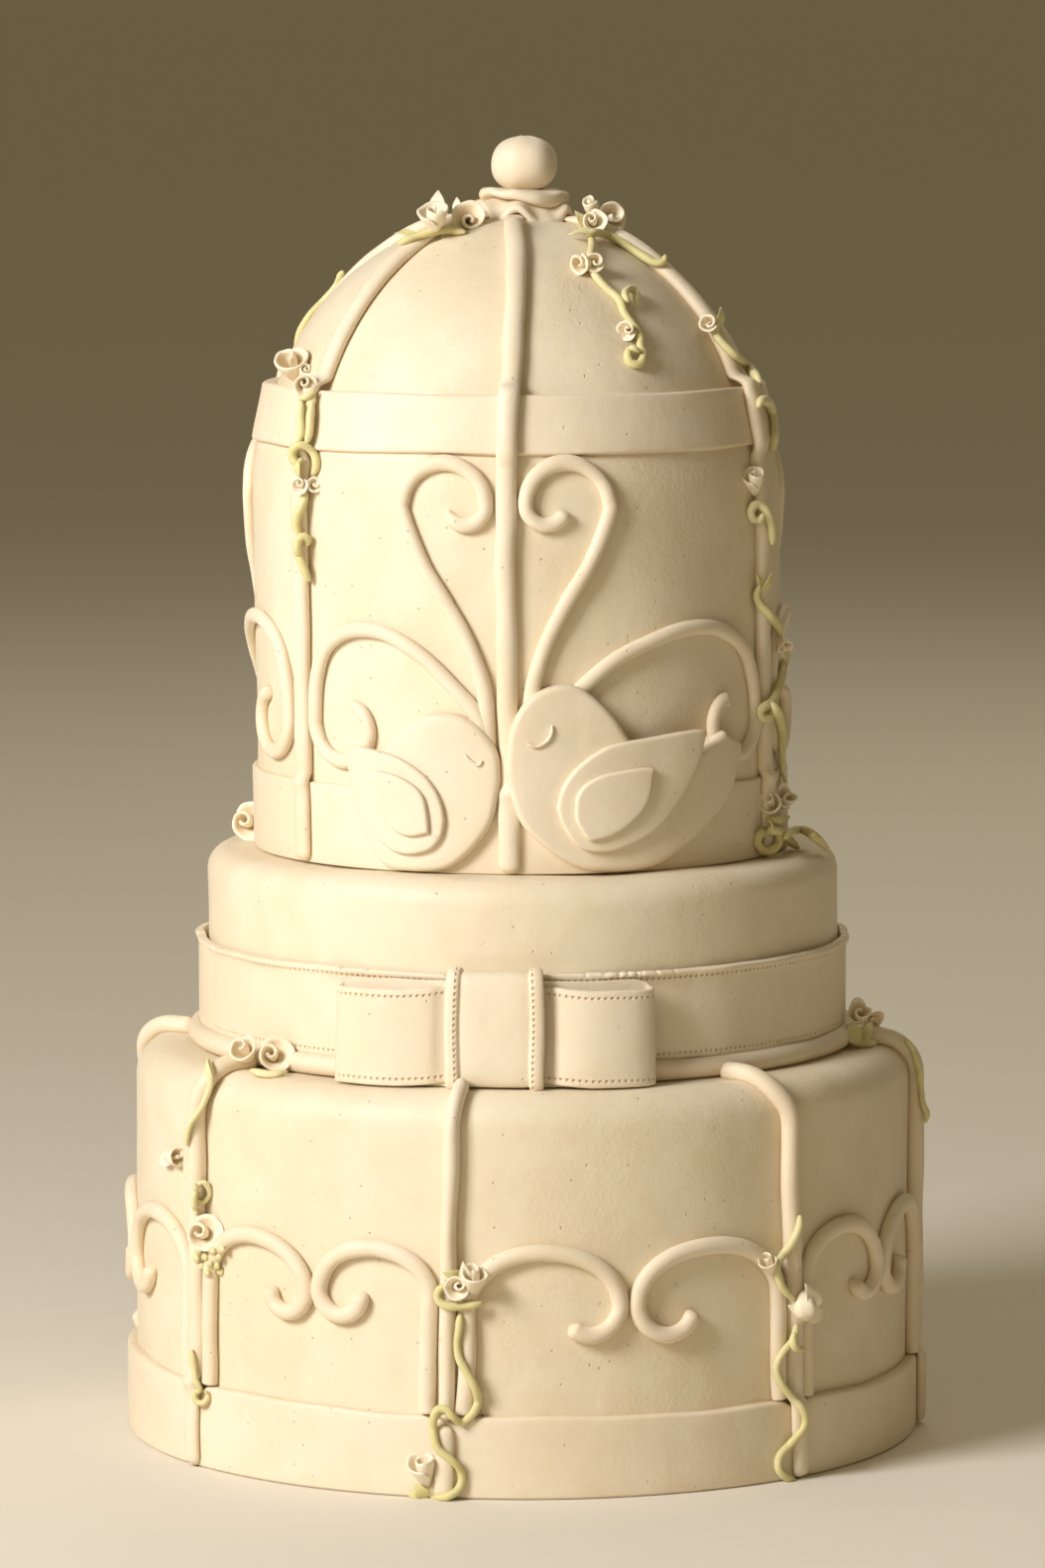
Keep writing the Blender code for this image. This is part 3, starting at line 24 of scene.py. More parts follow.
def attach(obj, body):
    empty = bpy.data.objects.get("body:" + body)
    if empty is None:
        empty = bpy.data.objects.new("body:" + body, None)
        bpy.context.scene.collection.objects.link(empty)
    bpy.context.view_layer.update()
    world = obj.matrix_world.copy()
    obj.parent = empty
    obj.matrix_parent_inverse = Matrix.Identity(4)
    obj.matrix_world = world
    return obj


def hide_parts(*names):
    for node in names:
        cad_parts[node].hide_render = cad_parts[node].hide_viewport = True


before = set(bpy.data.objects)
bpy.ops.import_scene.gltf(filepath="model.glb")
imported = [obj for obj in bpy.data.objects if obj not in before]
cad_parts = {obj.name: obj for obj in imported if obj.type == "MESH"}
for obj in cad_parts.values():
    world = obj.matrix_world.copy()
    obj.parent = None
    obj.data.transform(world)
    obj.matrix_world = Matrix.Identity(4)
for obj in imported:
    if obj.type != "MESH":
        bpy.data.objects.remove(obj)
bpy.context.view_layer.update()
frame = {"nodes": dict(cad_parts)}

logging.basicConfig(level=logging.INFO, format="%(message)s")
LOG = logging.getLogger("wedding_cake")

Array = np.ndarray
Number = float | np.ndarray
Point = tuple[float, float]
Colour = tuple[float, float, float]
Size = tuple[float, float, float]
Lift = Callable[[float, float], float]

MM = 0.001
GAP = 0.3
SENSOR = 36.0
BODY = "root"


class Slot(Enum):
    """The record's material slots, which the pieces take their finish from."""

    TIER = "tier_icing"
    TRIM = "trim_icing"
    ROSE = "rose_icing"
    VINE = "vine_icing"


# Shaders


class Sock:
    """A shader socket that can be used in arithmetic."""

    def __init__(self, graph: "Graph", socket: bpy.types.NodeSocket) -> None:
        """Keeps a socket with the graph that its next nodes go into."""
        self.graph = graph
        self.socket = socket

    def _math(self, operation: str, *terms: "Sock | float") -> "Sock":
        """Adds a Math node."""
        return self.graph.node("ShaderNodeMath", {"operation": operation}, dict(enumerate(terms)))

    def __add__(self, other: "Sock | float") -> "Sock":
        """This plus another."""
        return self._math("ADD", self, other)

    __radd__ = __add__

    def __sub__(self, other: "Sock | float") -> "Sock":
        """This minus another."""
        return self._math("SUBTRACT", self, other)

    def __rsub__(self, other: float) -> "Sock":
        """A number minus this."""
        return self._math("SUBTRACT", other, self)

    def __mul__(self, other: "Sock | float") -> "Sock":
        """This times another."""
        return self._math("MULTIPLY", self, other)

    __rmul__ = __mul__

    def clamped(self) -> "Sock":
        """This held between 0 and 1."""
        return self.graph.node("ShaderNodeClamp", {}, {0: self})


class Graph:
    """The node graph of one material."""

    def __init__(self, name: str) -> None:
        """Starts a material with an empty graph.

        Args:
            name: The material's name.
        """
        self.material = bpy.data.materials.new(name)
        self.material.use_nodes = True
        self.tree = self.material.node_tree
        self.tree.nodes.clear()

    def node(
        self,
        kind: str,
        settings: dict[str, Any] | None = None,
        sockets: dict[int | str, Any] | None = None,
        output: int | str = 0,
    ) -> Sock:
        """Adds one node.

        Args:
            kind: The node's type.
            settings: Its properties.
            sockets: Values or links of its inputs, by name or number.
            output: Which output to return.

        Returns:
            The chosen output.
        """
        made = self.tree.nodes.new(kind)
        for key, value in (settings or {}).items():
            setattr(made, key, value)
        for key, value in (sockets or {}).items():
            if isinstance(value, Sock):
                self.tree.links.new(value.socket, made.inputs[key])
            elif isinstance(value, tuple) and made.inputs[key].type == "RGBA":
                made.inputs[key].default_value = (*value, 1.0)
            else:
                made.inputs[key].default_value = value
        return Sock(self, made.outputs[output]) if made.outputs else Sock(self, None)

    def noise(self, where: Sock, scale: float, detail: float = 2.0, roughness: float = 0.5) -> Sock:
        """Adds a noise texture."""
        return self.node("ShaderNodeTexNoise", {}, {
            "Vector": where, "Scale": scale, "Detail": detail, "Roughness": roughness})

    def ramp(self, value: Sock, low: float, high: float) -> Sock:
        """0 where a value is low and 1 where it is high."""
        return self.node("ShaderNodeMapRange", {"interpolation_type": "SMOOTHSTEP"}, {
            "Value": value, "From Min": low, "From Max": high})

    def mix(self, share: Sock, first: Sock | Colour, second: Sock | Colour) -> Sock:
        """Mixes two colours."""
        return self.node("ShaderNodeMix", {"data_type": "RGBA"}, {0: share, 6: first, 7: second}, 2)

    def spots(self, where: Sock, scale: float, size: float, share: float) -> Sock:
        """Sparse round spots.

        Args:
            where: The place that they are read at.
            scale: Cells for each metre.
            size: A spot's radius as a share of its cell.
            share: The share of cells that hold a spot.

        Returns:
            1 at a spot's middle and 0 outside it.
        """
        near = {"Vector": where, "Scale": scale, "Randomness": 1.0}
        away = self.node("ShaderNodeTexVoronoi", {}, near, "Distance")
        cell = self.node("ShaderNodeTexVoronoi", {}, near, "Color")
        chosen = self.node("ShaderNodeSeparateColor", {}, {0: cell}, 0)
        picked = self.node("ShaderNodeMath", {"operation": "LESS_THAN"}, {0: chosen, 1: share})
        return self.ramp(away, size, size * 0.35) * picked


# Features of the icing's noises for each metre: its broad mottling, its patches and its grain
BROAD, PATCH, GRAIN = 14.0, 55.0, 620.0
# Each layer of round spots: its cells for each metre, and a spot's radius as a share of its cell
WIDE_PITS, FINE_PITS, SPECKS = (120.0, 0.085), (260.0, 0.16), (62.0, 0.045)


@dataclass(frozen=True)
class Icing:
    """A matt sugar icing: its colours, the colour of the painted shade in its creases and pits, and how its
    surface is pitted and grained.
    """

    name: str
    colour: Colour
    warm: Colour
    # The colour of the painted shade: creases, the feet and undersides of pieces, pressed holes and pits are
    # darkened towards it.
    painted_shade: Colour
    speck: Colour = (0.10, 0.045, 0.02)
    roughness: float = 0.52
    grain: float = 0.26
    smear: float = 0.6
    pits: float = 0.10
    specks: float = 0.02
    glow: float = 0.12
    # How strongly the painted shade is mixed in.
    painted_shade_share: float = 0.75

    def material(self) -> bpy.types.Material:
        """Builds the procedural material.

        Returns:
            The finished material.
        """
        graph = Graph(self.name)
        where = graph.node("ShaderNodeTexCoord", {}, {}, "Object")
        broad = graph.noise(where, BROAD, 3.0)
        patch = graph.noise(where, PATCH, 4.0, 0.6)
        fine = graph.noise(where, GRAIN, 3.0, 0.6)
        mottle = graph.ramp(broad * 0.6 + patch * 0.4, 0.40, 0.62)
        colour = graph.mix(mottle, self.colour, self.warm)

        # Painted shade: the per-point shade attribute darkens creases, the feet and undersides of pieces and
        # pressed holes, mottled by the patch noise.
        painted_shade = graph.node("ShaderNodeAttribute", {"attribute_name": "painted_shade"}, {}, "Fac")
        painted_crease_shade = (painted_shade * self.painted_shade_share * (0.7 + 0.6 * patch)).clamped()
        colour = graph.mix(painted_crease_shade, colour, self.painted_shade)

        pits = graph.spots(where, *WIDE_PITS, self.pits) + graph.spots(where, *FINE_PITS, self.pits * 1.5)
        specks = graph.spots(where, *SPECKS, self.specks)
        # Painted shade in the pits: they are darkened towards the shade colour as well as dented.
        colour = graph.mix((pits * 0.35).clamped(), colour, self.painted_shade)
        colour = graph.mix((specks * 0.9).clamped(), colour, self.speck)

        rough = self.roughness + (patch - 0.5) * 0.22 + (fine - 0.5) * 0.10
        peel = graph.ramp(broad, 0.46, 0.60)
        height = fine * (self.grain * (0.3 + 0.7 * peel)) + patch * self.smear - pits * 0.45 - specks * 0.2
        bump = graph.node("ShaderNodeBump", {}, {"Height": height, "Distance": MM, "Strength": 0.9})
        shader = graph.node("ShaderNodeBsdfPrincipled", {}, {
            "Base Color": colour, "Roughness": rough, "Normal": bump,
            "Subsurface Weight": self.glow, "Subsurface Radius": (1.0, 0.55, 0.28),
            "Subsurface Scale": 2.5 * MM, "Specular IOR Level": 0.32, "Sheen Weight": 0.05})
        graph.node("ShaderNodeOutputMaterial", {}, {"Surface": shader})
        return graph.material


# Each finish: its colour, its warm mottling, and the colour of its painted shade.
FINISHES: dict[Slot, Icing] = {
    Slot.TIER: Icing("tier_icing_dressed", (0.80, 0.70, 0.51), (0.77, 0.65, 0.45), (0.62, 0.43, 0.22)),
    Slot.TRIM: Icing("trim_icing_dressed", (0.82, 0.71, 0.53), (0.79, 0.665, 0.47), (0.62, 0.42, 0.22),
                     grain=0.07, pits=0.05, specks=0.012, painted_shade_share=0.4),
    Slot.ROSE: Icing("rose_icing_dressed", (0.89, 0.80, 0.62), (0.87, 0.76, 0.56), (0.86, 0.62, 0.38),
                     grain=0.05, pits=0.02, specks=0.0, glow=0.2, painted_shade_share=0.45),
    Slot.VINE: Icing("vine_icing_dressed", (0.68, 0.61, 0.28), (0.75, 0.68, 0.38), (0.42, 0.35, 0.10),
                     grain=0.06, pits=0.02, specks=0.0, glow=0.15, painted_shade_share=0.5),
}


# Skins


@dataclass
class Skin:
    """The points, faces and painted shade of a piece: how far each point is darkened to stand for shade in
    creases, at feet and underneath.
    """

    points: Array
    faces: list[tuple[int, ...]]
    painted_shade: Array

    @classmethod
    def grid(cls, points: Array, painted_shade: Array, loop: bool = False) -> "Skin":
        """A skin over rows of points, with each row closed.

        Args:
            points: Points as (rows, columns, 3).
            painted_shade: The painted shade as (rows, columns).
            loop: Whether the last row meets the first. If not, both end rows are capped.

        Returns:
            The skin.
        """
        rows, columns = points.shape[:2]
        index = np.arange(rows * columns).reshape(rows, columns)
        index = np.hstack([index, index[:, :1]])
        if loop:
            index = np.vstack([index, index[:1]])
        corners = (index[:-1, :-1], index[:-1, 1:], index[1:, 1:], index[1:, :-1])
        faces = [tuple(face) for face in np.stack(corners, -1).reshape(-1, 4).tolist()]
        if not loop:
            faces.append(tuple(range(columns)))
            faces.append(tuple(range((rows - 1) * columns, rows * columns)))
        return cls(points.reshape(-1, 3), faces, painted_shade.reshape(-1))

    def __add__(self, other: "Skin") -> "Skin":
        """Both skins as one.

        Args:
            other: The skin to add.

        Returns:
            The whole.
        """
        base = len(self.points)
        moved = [tuple(corner + base for corner in face) for face in other.faces]
        points = np.vstack([self.points, other.points])
        return Skin(points, self.faces + moved, np.concatenate([self.painted_shade, other.painted_shade]))

    def tree(self) -> BVHTree:
        """The skin as a tree for casting rays."""
        return BVHTree.FromPolygons(self.points.tolist(), self.faces)


def joined(skins: Iterable[Skin]) -> Skin:
    """Several skins as one."""
    return reduce(operator.add, skins)


class Bench:
    """Turns skins into finished pieces on the cake."""

    def __init__(self) -> None:
        """Mixes the finishes."""
        self.materials = {slot: finish.material() for slot, finish in FINISHES.items()}

    def put(self, name: str, skin: Skin, slot: Slot, *nodes: str, sharp: float = 55.0) -> bpy.types.Object:
        """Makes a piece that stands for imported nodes.

        Args:
            name: The piece's name.
            skin: Its points and faces.
            slot: The slot that it takes its finish from.
            nodes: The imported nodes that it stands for.
            sharp: Edges that bend by more degrees than this stay sharp.

        Returns:
            The piece.
        """
        mesh = bpy.data.meshes.new(name)
        mesh.from_pydata((skin.points * MM).tolist(), [], skin.faces)
        work = bmesh.new()
        work.from_mesh(mesh)
        bmesh.ops.recalc_face_normals(work, faces=work.faces)
        work.to_mesh(mesh)
        work.free()
        # The painted shade of each point, which the material mixes into the base colour.
        shade = mesh.attributes.new("painted_shade", "FLOAT", "POINT")
        shade.data.foreach_set("value", skin.painted_shade.astype(np.float32))
        mesh.shade_smooth()
        mesh.set_sharp_from_angle(angle=math.radians(sharp))
        mesh.materials.append(self.materials[slot])
        piece = bpy.data.objects.new(name, mesh)
        bpy.context.scene.collection.objects.link(piece)
        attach(piece, BODY)
        if nodes:
            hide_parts(*nodes)
        LOG.info("%s: %d faces, for %s", name, len(skin.faces), ", ".join(nodes) or "itself")
        return piece

    def trim(self, name: str, skin: Skin) -> bpy.types.Object:
        """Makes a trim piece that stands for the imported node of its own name."""
        return self.put(name, skin, Slot.TRIM, name)


# Curves and unevenness


def ramp(value: Number, start: float, end: float) -> Number:
    """0 before start and 1 after end, which may be the lower of the two."""
    return np.clip((np.asarray(value, float) - start) / (end - start), 0.0, 1.0)


def unit(vectors: Array) -> Array:
    """Vectors with their lengths made 1."""
    return vectors / np.linalg.norm(vectors, axis=-1, keepdims=True)


def distances(points: Array) -> Array:
    """The distance along a route at each of its points."""
    return np.concatenate([[0.0], np.cumsum(np.linalg.norm(np.diff(points, axis=0), axis=1))])


def flow(points: Sequence[Sequence[float]], step: float, fine: Sequence[float] = ()) -> Array:
    """Points a step apart along a smooth curve through a route's own points.

    Args:
        points: The route's points.
        step: The distance between the new ones.
        fine: Distances from either end that get a point of their own.

    Returns:
        The new points.
    """
    known = np.array(points, float)
    padded = np.vstack([2 * known[0] - known[1], known, 2 * known[-1] - known[-2]])
    share = np.linspace(0.0, 1.0, 16, endpoint=False)[:, None]
    curve = []
    for i in range(1, len(padded) - 2):
        before, start, end, after = padded[i - 1 : i + 3]
        curve.append(0.5 * (2 * start + (end - before) * share
                            + (2 * before - 5 * start + 4 * end - after) * share**2
                            + (3 * start - before - 3 * end + after) * share**3))
    dense = np.vstack([*curve, known[-1:]])
    along = distances(dense)
    stops = np.linspace(0.0, along[-1], max(int(round(along[-1] / step)), 3) + 1)
    if fine:
        middle = stops[(stops > fine[-1] + 0.3) & (stops < along[-1] - fine[-1] - 0.3)]
        ends = np.array((0.0, *fine))
        stops = np.concatenate([ends, middle, along[-1] - ends[::-1]])
    return np.column_stack([np.interp(stops, along, dense[:, k]) for k in range(known.shape[1])])


def globe(turns: Array, ups: Array) -> Array:
    """Unit directions from angles round the vertical and angles up, in radians."""
    return np.stack([np.cos(ups) * np.cos(turns), np.cos(ups) * np.sin(turns), np.sin(ups) + 0 * turns], -1)


def arc(
    centre: Point, radius: float, start: float, sweep: float, steps: int, last: float = 0.0
) -> list[Point]:
    """Points on an arc, or on a spiral that ends at another radius.

    Args:
        centre: The arc's centre.
        radius: Its radius.
        start: The angle of its first point in degrees.
        sweep: The angle that it turns through.
        steps: How many points.
        last: The radius at its end, if it is a spiral.

    Returns:
        The points.
    """
    found = []
    for share in np.linspace(0.0, 1.0, steps):
        turn = math.radians(start + sweep * share)
        reach = radius + ((last or radius) - radius) * share
        found.append((centre[0] + reach * math.cos(turn), centre[1] + reach * math.sin(turn)))
    return found


class Ripple:
    """The slow unevenness of hand-rolled icing, the same each time."""

    def __init__(self, seed: int, amount: float, length: float, waves: int = 6) -> None:
        """Draws the waves.

        Args:
            seed: What the waves are drawn from.
            amount: How strong they are.
            length: How long they are.
            waves: How many there are.
        """
        draw = np.random.default_rng(seed)
        self.amount = amount
        self.rates = 2 * math.pi / (length * draw.uniform(0.6, 2.4, waves))
        self.phases = draw.uniform(0, 2 * math.pi, waves)

    def __call__(self, along: Array) -> Array:
        """The unevenness at distances along a piece."""
        waves = np.sin(np.multiply.outer(np.asarray(along, float), self.rates) + self.phases)
        return self.amount * waves.sum(-1) / math.sqrt(len(self.rates))


class Dimple:
    """The unevenness of a tier's icing, over its angle and its run."""

    def __init__(self, seed: int, amount: float, waves: int = 14) -> None:
        """Draws the waves.

        Args:
            seed: What the waves are drawn from.
            amount: How strong they are.
            waves: How many there are.
        """
        draw = np.random.default_rng(seed)
        self.amount = amount
        self.turns = draw.integers(1, 13, waves)
        self.rises = draw.uniform(-0.09, 0.09, waves)
        self.phases = draw.uniform(0, 2 * math.pi, waves)

    def __call__(self, angle: Array, run: Array) -> Array:
        """The unevenness at angles and runs.

        Args:
            angle: The angles in degrees.
            run: The runs.

        Returns:
            How far the icing stands out at each.
        """
        total = np.zeros(np.broadcast(angle, run).shape)
        for turns, rise, phase in zip(self.turns, self.rises, self.phases):
            total += np.sin(turns * np.radians(angle) + rise * run + phase)
        return self.amount * total / math.sqrt(len(self.turns))


# The tiers' surfaces


@dataclass(frozen=True)
class Seen:
    """A place given by where the photograph shows it, in its pixels."""

    x: float
    y: float


@dataclass
class Sight:
    """The photograph's camera, which finds what it shows at a pixel.

    It looks from so far ahead of the cake's axis to so far past it, in strides.
    """

    frame: tuple[int, int] = (1054, 1582)
    lens: float = 165.01
    pitch: float = 6.41
    where: Size = (0.0, -2.9912, 0.6058)
    ahead: float = 200.0
    past: float = 12.0
    stride: float = 0.8
    slack: float = 9.0

    def ray(self, seen: Seen) -> tuple[Array, Array]:
        """The line of sight through a pixel.

        Args:
            seen: The pixel.

        Returns:
            The camera's place in millimetres, and the unit direction.
        """
        focal = self.lens / SENSOR * self.frame[1]
        x, y = seen.x - self.frame[0] / 2, self.frame[1] / 2 - seen.y
        turn = math.radians(self.pitch)
        level, fall = math.cos(turn), math.sin(turn)
        way = np.array([x, focal * level + y * fall, y * level - focal * fall])
        return np.array(self.where) / MM, unit(way)

    def at(self, seen: Seen, reach: float) -> Array:
        """The point at a distance along a line of sight."""
        start, way = self.ray(seen)
        return start + way * reach

    def meet(self, seen: Seen, clear: Callable[[Array], float]) -> float:
        """How far along a line of sight something first comes to rest.

        Args:
            seen: The pixel.
            clear: How far off its rest a thing is when it is at a point.

        Returns:
            The distance. Past the cake's edge it is where the thing is nearest to rest.
        """
        start, way = self.ray(seen)
        middle = -float(np.dot(start[:2], way[:2])) / float(np.dot(way[:2], way[:2]))
        reach, best, found, before = middle - self.ahead, math.inf, middle, None
        while reach < middle + self.past:
            gap = clear(start + way * reach)
            if gap < best:
                best, found = gap, reach
            if gap <= 0:
                if before is None:
                    return reach
                return before[0] + (reach - before[0]) * before[1] / (before[1] - gap)
            before = (reach, gap)
            reach += max(self.stride, 0.6 * (gap - self.slack))
        return found


SIGHT = Sight()
PIXELS = 2.5  # the photograph's pixels to a millimetre at the cake's front
Spot = Seen | Point


@dataclass
class Surface:
    """The outside of a tier, read as angle, run up its outline and lift off it."""

    outline: Array
    lean: float = 0.0
    shift: float = 0.0
    lean_from: float = 0.0
    lean_rise: float = 1.0
    runs: Array = field(init=False)
    fine: Array = field(init=False)

    def __post_init__(self) -> None:
        """Measures the outline."""
        self.outline = np.array(self.outline, float)
        steps = np.hypot(*np.diff(self.outline, axis=0).T)
        self.runs = self.outline[0, 1] + np.concatenate([[0.0], np.cumsum(steps)])
        runs = np.linspace(self.runs[0], self.runs[-1], 700)
        self.fine = np.column_stack([runs, self.radius(runs), self.height(runs)])

    def radius(self, run: Number) -> Array:
        """The outline's radius at a run."""
        return np.interp(run, self.runs, self.outline[:, 0])

    def height(self, run: Number) -> Array:
        """The outline's height at a run."""
        return np.interp(run, self.runs, self.outline[:, 1])

    def run_at(self, height: float) -> float:
        """The run at a height."""
        return float(np.interp(height, self.outline[:, 1], self.runs))

    def normal(self, run: Number) -> tuple[Array, Array]:
        """The outline's outward direction at a run.

        Args:
            run: The run or runs.

        Returns:
            Its parts away from the axis and upwards.
        """
        reach = 1.5
        dr = self.radius(np.add(run, reach)) - self.radius(np.subtract(run, reach))
        dz = self.height(np.add(run, reach)) - self.height(np.subtract(run, reach))
        size = np.maximum(np.hypot(dr, dz), 1e-6)
        return dz / size, -dr / size

    def _axis(self, height: Number) -> Number:
        """How far to the right the tier's axis is at a height, because the tier leans."""
        return self.shift + self.lean * ramp(height, self.lean_from, self.lean_from + self.lean_rise)

    def place(self, angle: Number, radius: Number, height: Number) -> Array:
        """World points from angles, radii and heights.

        Args:
            angle: The angle or angles in degrees.
            radius: The distance from the axis.
            height: The height.

        Returns:
            Points with three coordinates each.
        """
        turn = np.radians(angle)
        side = self._axis(height) + radius * np.sin(turn)
        x, y, z = np.broadcast_arrays(side, -radius * np.cos(turn), height)
        return np.stack([x, y, z], -1)

    def point(self, angle: Number, run: Number, lift: Number = 0.0) -> Array:
        """World points from angles, runs and lifts."""
        out, up = self.normal(run)
        return self.place(angle, self.radius(run) + lift * out, self.height(run) + lift * up)

    def off(self, angle: Number, run: Number, side: Number, rise: Number) -> tuple[Number, Number]:
        """The angle and run that lie a little to the side and up from a place."""
        return angle + np.degrees(side / np.maximum(self.radius(run), 1.0)), run + rise

    def unplace(self, spot: Array) -> tuple[float, float, float]:
        """The angle, run and lift of a world point.

        Args:
            spot: The point.

        Returns:
            Its angle, the run that it is nearest to, and how far off it stands.
        """
        side = spot[0] - float(self._axis(spot[2]))
        radius = math.hypot(side, spot[1])
        away = np.hypot(self.fine[:, 1] - radius, self.fine[:, 2] - spot[2])
        run, near, height = self.fine[int(np.argmin(away))]
        out, up = self.normal(run)
        lift = (radius - near) * float(out) + (spot[2] - height) * float(up)
        return math.degrees(math.atan2(side, -spot[1])), float(run), lift

    def flat(self, route: Sequence[Point]) -> tuple[list[Point], float]:
        """A route laid out flat."""
        middle = float(self.radius(route[len(route) // 2][1]))
        return [(math.radians(angle) * middle, run) for angle, run in route], middle

    def turned(self, runs: Array, dimple: Dimple, count: int = 288) -> Skin:
        """The tier's own skin.

        Args:
            runs: The runs of its rows.
            dimple: Its unevenness.
            count: The points round it.

        Returns:
            The skin, closed by flat ends.
        """
        angles = np.arange(count) * 360 / count
        rows = [self.point(angles, run, dimple(angles, run)) for run in runs]
        return Skin.grid(np.array(rows), np.zeros((len(rows), count)))

    def ring(self, section: Callable[[float], list[Point]], painted_shades: Sequence[float], count: int = 288) -> Skin:
        """A band round the tier.

        Args:
            section: The band's outline as (radius, height) at an angle.
            painted_shades: The painted shade of each point of the outline.
            count: The points round it.

        Returns:
            The skin.
        """
        angles = np.arange(count) * 360 / count
        rows = [self.place(angle, *np.array(section(angle)).T) for angle in angles]
        return Skin.grid(np.array(rows), np.tile(painted_shades, (count, 1)), loop=True)


class Ground:
    """What vines and blooms rest on."""

    REACH = 45.0  # how far off the tier a ray starts
    FAR = 26.0  # the lift above which nothing is cast
    TALLEST = 12.0  # what is taken to lie there instead

    def __init__(self, surface: Surface, skins: Iterable[Skin]) -> None:
        """Lays the first skins."""
        self.surface = surface
        self.trees = [joined(skins).tree()]

    def clear(self, spot: Array, reach: float = 0.0) -> float:
        """How far a point is off what lies there.

        Args:
            spot: The point.
            reach: How far to its sides the ground counts too.

        Returns:
            The distance.
        """
        angle, run, lift = self.surface.unplace(spot)
        if lift > self.FAR:
            return lift - self.TALLEST
        sides = (0.0, -reach, reach) if reach else (0.0,)
        return lift - max(self.top(*self.surface.off(angle, run, side, 0.0)) for side in sides)

    def outward(self, spot: Array) -> Array:
        """The unit direction off the tier at a point.

        Args:
            spot: The point.

        Returns:
            The direction.
        """
        angle, run, _ = self.surface.unplace(spot)
        way = self.surface.point(angle, run, 1.0) - self.surface.point(angle, run, 0.0)
        return unit(way)

    def lay(self, skin: Skin) -> None:
        """Adds a skin to what there is."""
        self.trees.append(skin.tree())

    def top(self, angle: float, run: float) -> float:
        """The lift of the highest skin at a place.

        Args:
            angle: The place's angle.
            run: The place's run.

        Returns:
            The lift, or 0 where nothing is met.
        """
        start = self.surface.point(angle, run, self.REACH)
        way = Vector(self.surface.point(angle, run, 0.0) - start).normalized()
        best = 0.0
        for tree in self.trees:
            distance = tree.ray_cast(Vector(start), way, self.REACH)[3]
            if distance is not None:
                best = max(best, self.REACH - distance)
        return best


# Ropes, vines, plates and strips


@dataclass
class Rope:
    """A hand-rolled rope of icing pressed onto a tier."""

    surface: Surface
    route: Sequence[Point]
    width: float
    height: Callable[[Array], Array] | float
    base: Lift
    seed: int = 0
    round_ends: tuple[float, float] = (1.0, 1.0)
    sides: int = 18
    step: float = 1.5
    wobble: float = 0.35

    def _line(self) -> tuple[Array, Array]:
        """The rope's centre line.

        Returns:
            Its dense (angle, run) points, and the distance along it at each.
        """
        flat, middle = self.surface.flat(self.route)
        dense = flow(flat, self.step, (0.12, 0.4, 0.8, 1.3, 1.9, 2.6, 3.4))
        along = distances(dense)
        dense = np.column_stack([np.degrees(dense[:, 0] / middle), dense[:, 1]])
        return dense, along

    def skin(self) -> Skin:
        """Builds the rope.

        Returns:
            Its skin, rounded at the ends and touching the tier along a narrow foot.
        """
        line, along = self._line()
        angles, runs = line.T
        radius = self.surface.radius(runs)
        side = np.gradient(np.radians(angles), along) * radius
        rise = np.gradient(runs, along)
        size = np.maximum(np.hypot(side, rise), 1e-9)
        side, rise = side / size, rise / size
        width = self.width * (1 + Ripple(self.seed, 0.030, 26)(along))
        height = self.height(runs) if callable(self.height) else np.full(len(runs), self.height)
        height = height * (1 + Ripple(self.seed + 1, 0.022, 30)(along))
        sway = Ripple(self.seed + 2, self.wobble, 48)(along)
        ends = np.ones(len(along))
        for end, away in zip(self.round_ends, (along, along[-1] - along)):
            short = 1 - np.minimum(away / max(end * self.width / 2, 0.6), 1.0)
            ends = np.minimum(ends, np.sqrt(np.clip(1 - short**2, 0.03, 1.0)))
        low = np.array([self.base(a, r) for a, r in line])
        turns = np.radians(np.linspace(-54, 234, self.sides))
        reach = sway[:, None] + (width * ends / 2)[:, None] * np.cos(turns)
        up = (height * ends**0.8)[:, None] * (0.45 + 0.55 * np.sin(turns))
        ring_angle, ring_run = self.surface.off(
            angles[:, None], runs[:, None], reach * rise[:, None], -reach * side[:, None])
        points = self.surface.point(ring_angle, ring_run, low[:, None] + up - 0.25)
        # Painted shade at the rope's foot, where it meets what is under it.
        painted_shade = np.exp(-((up / 1.1) ** 2))
        return Skin.grid(points, painted_shade)


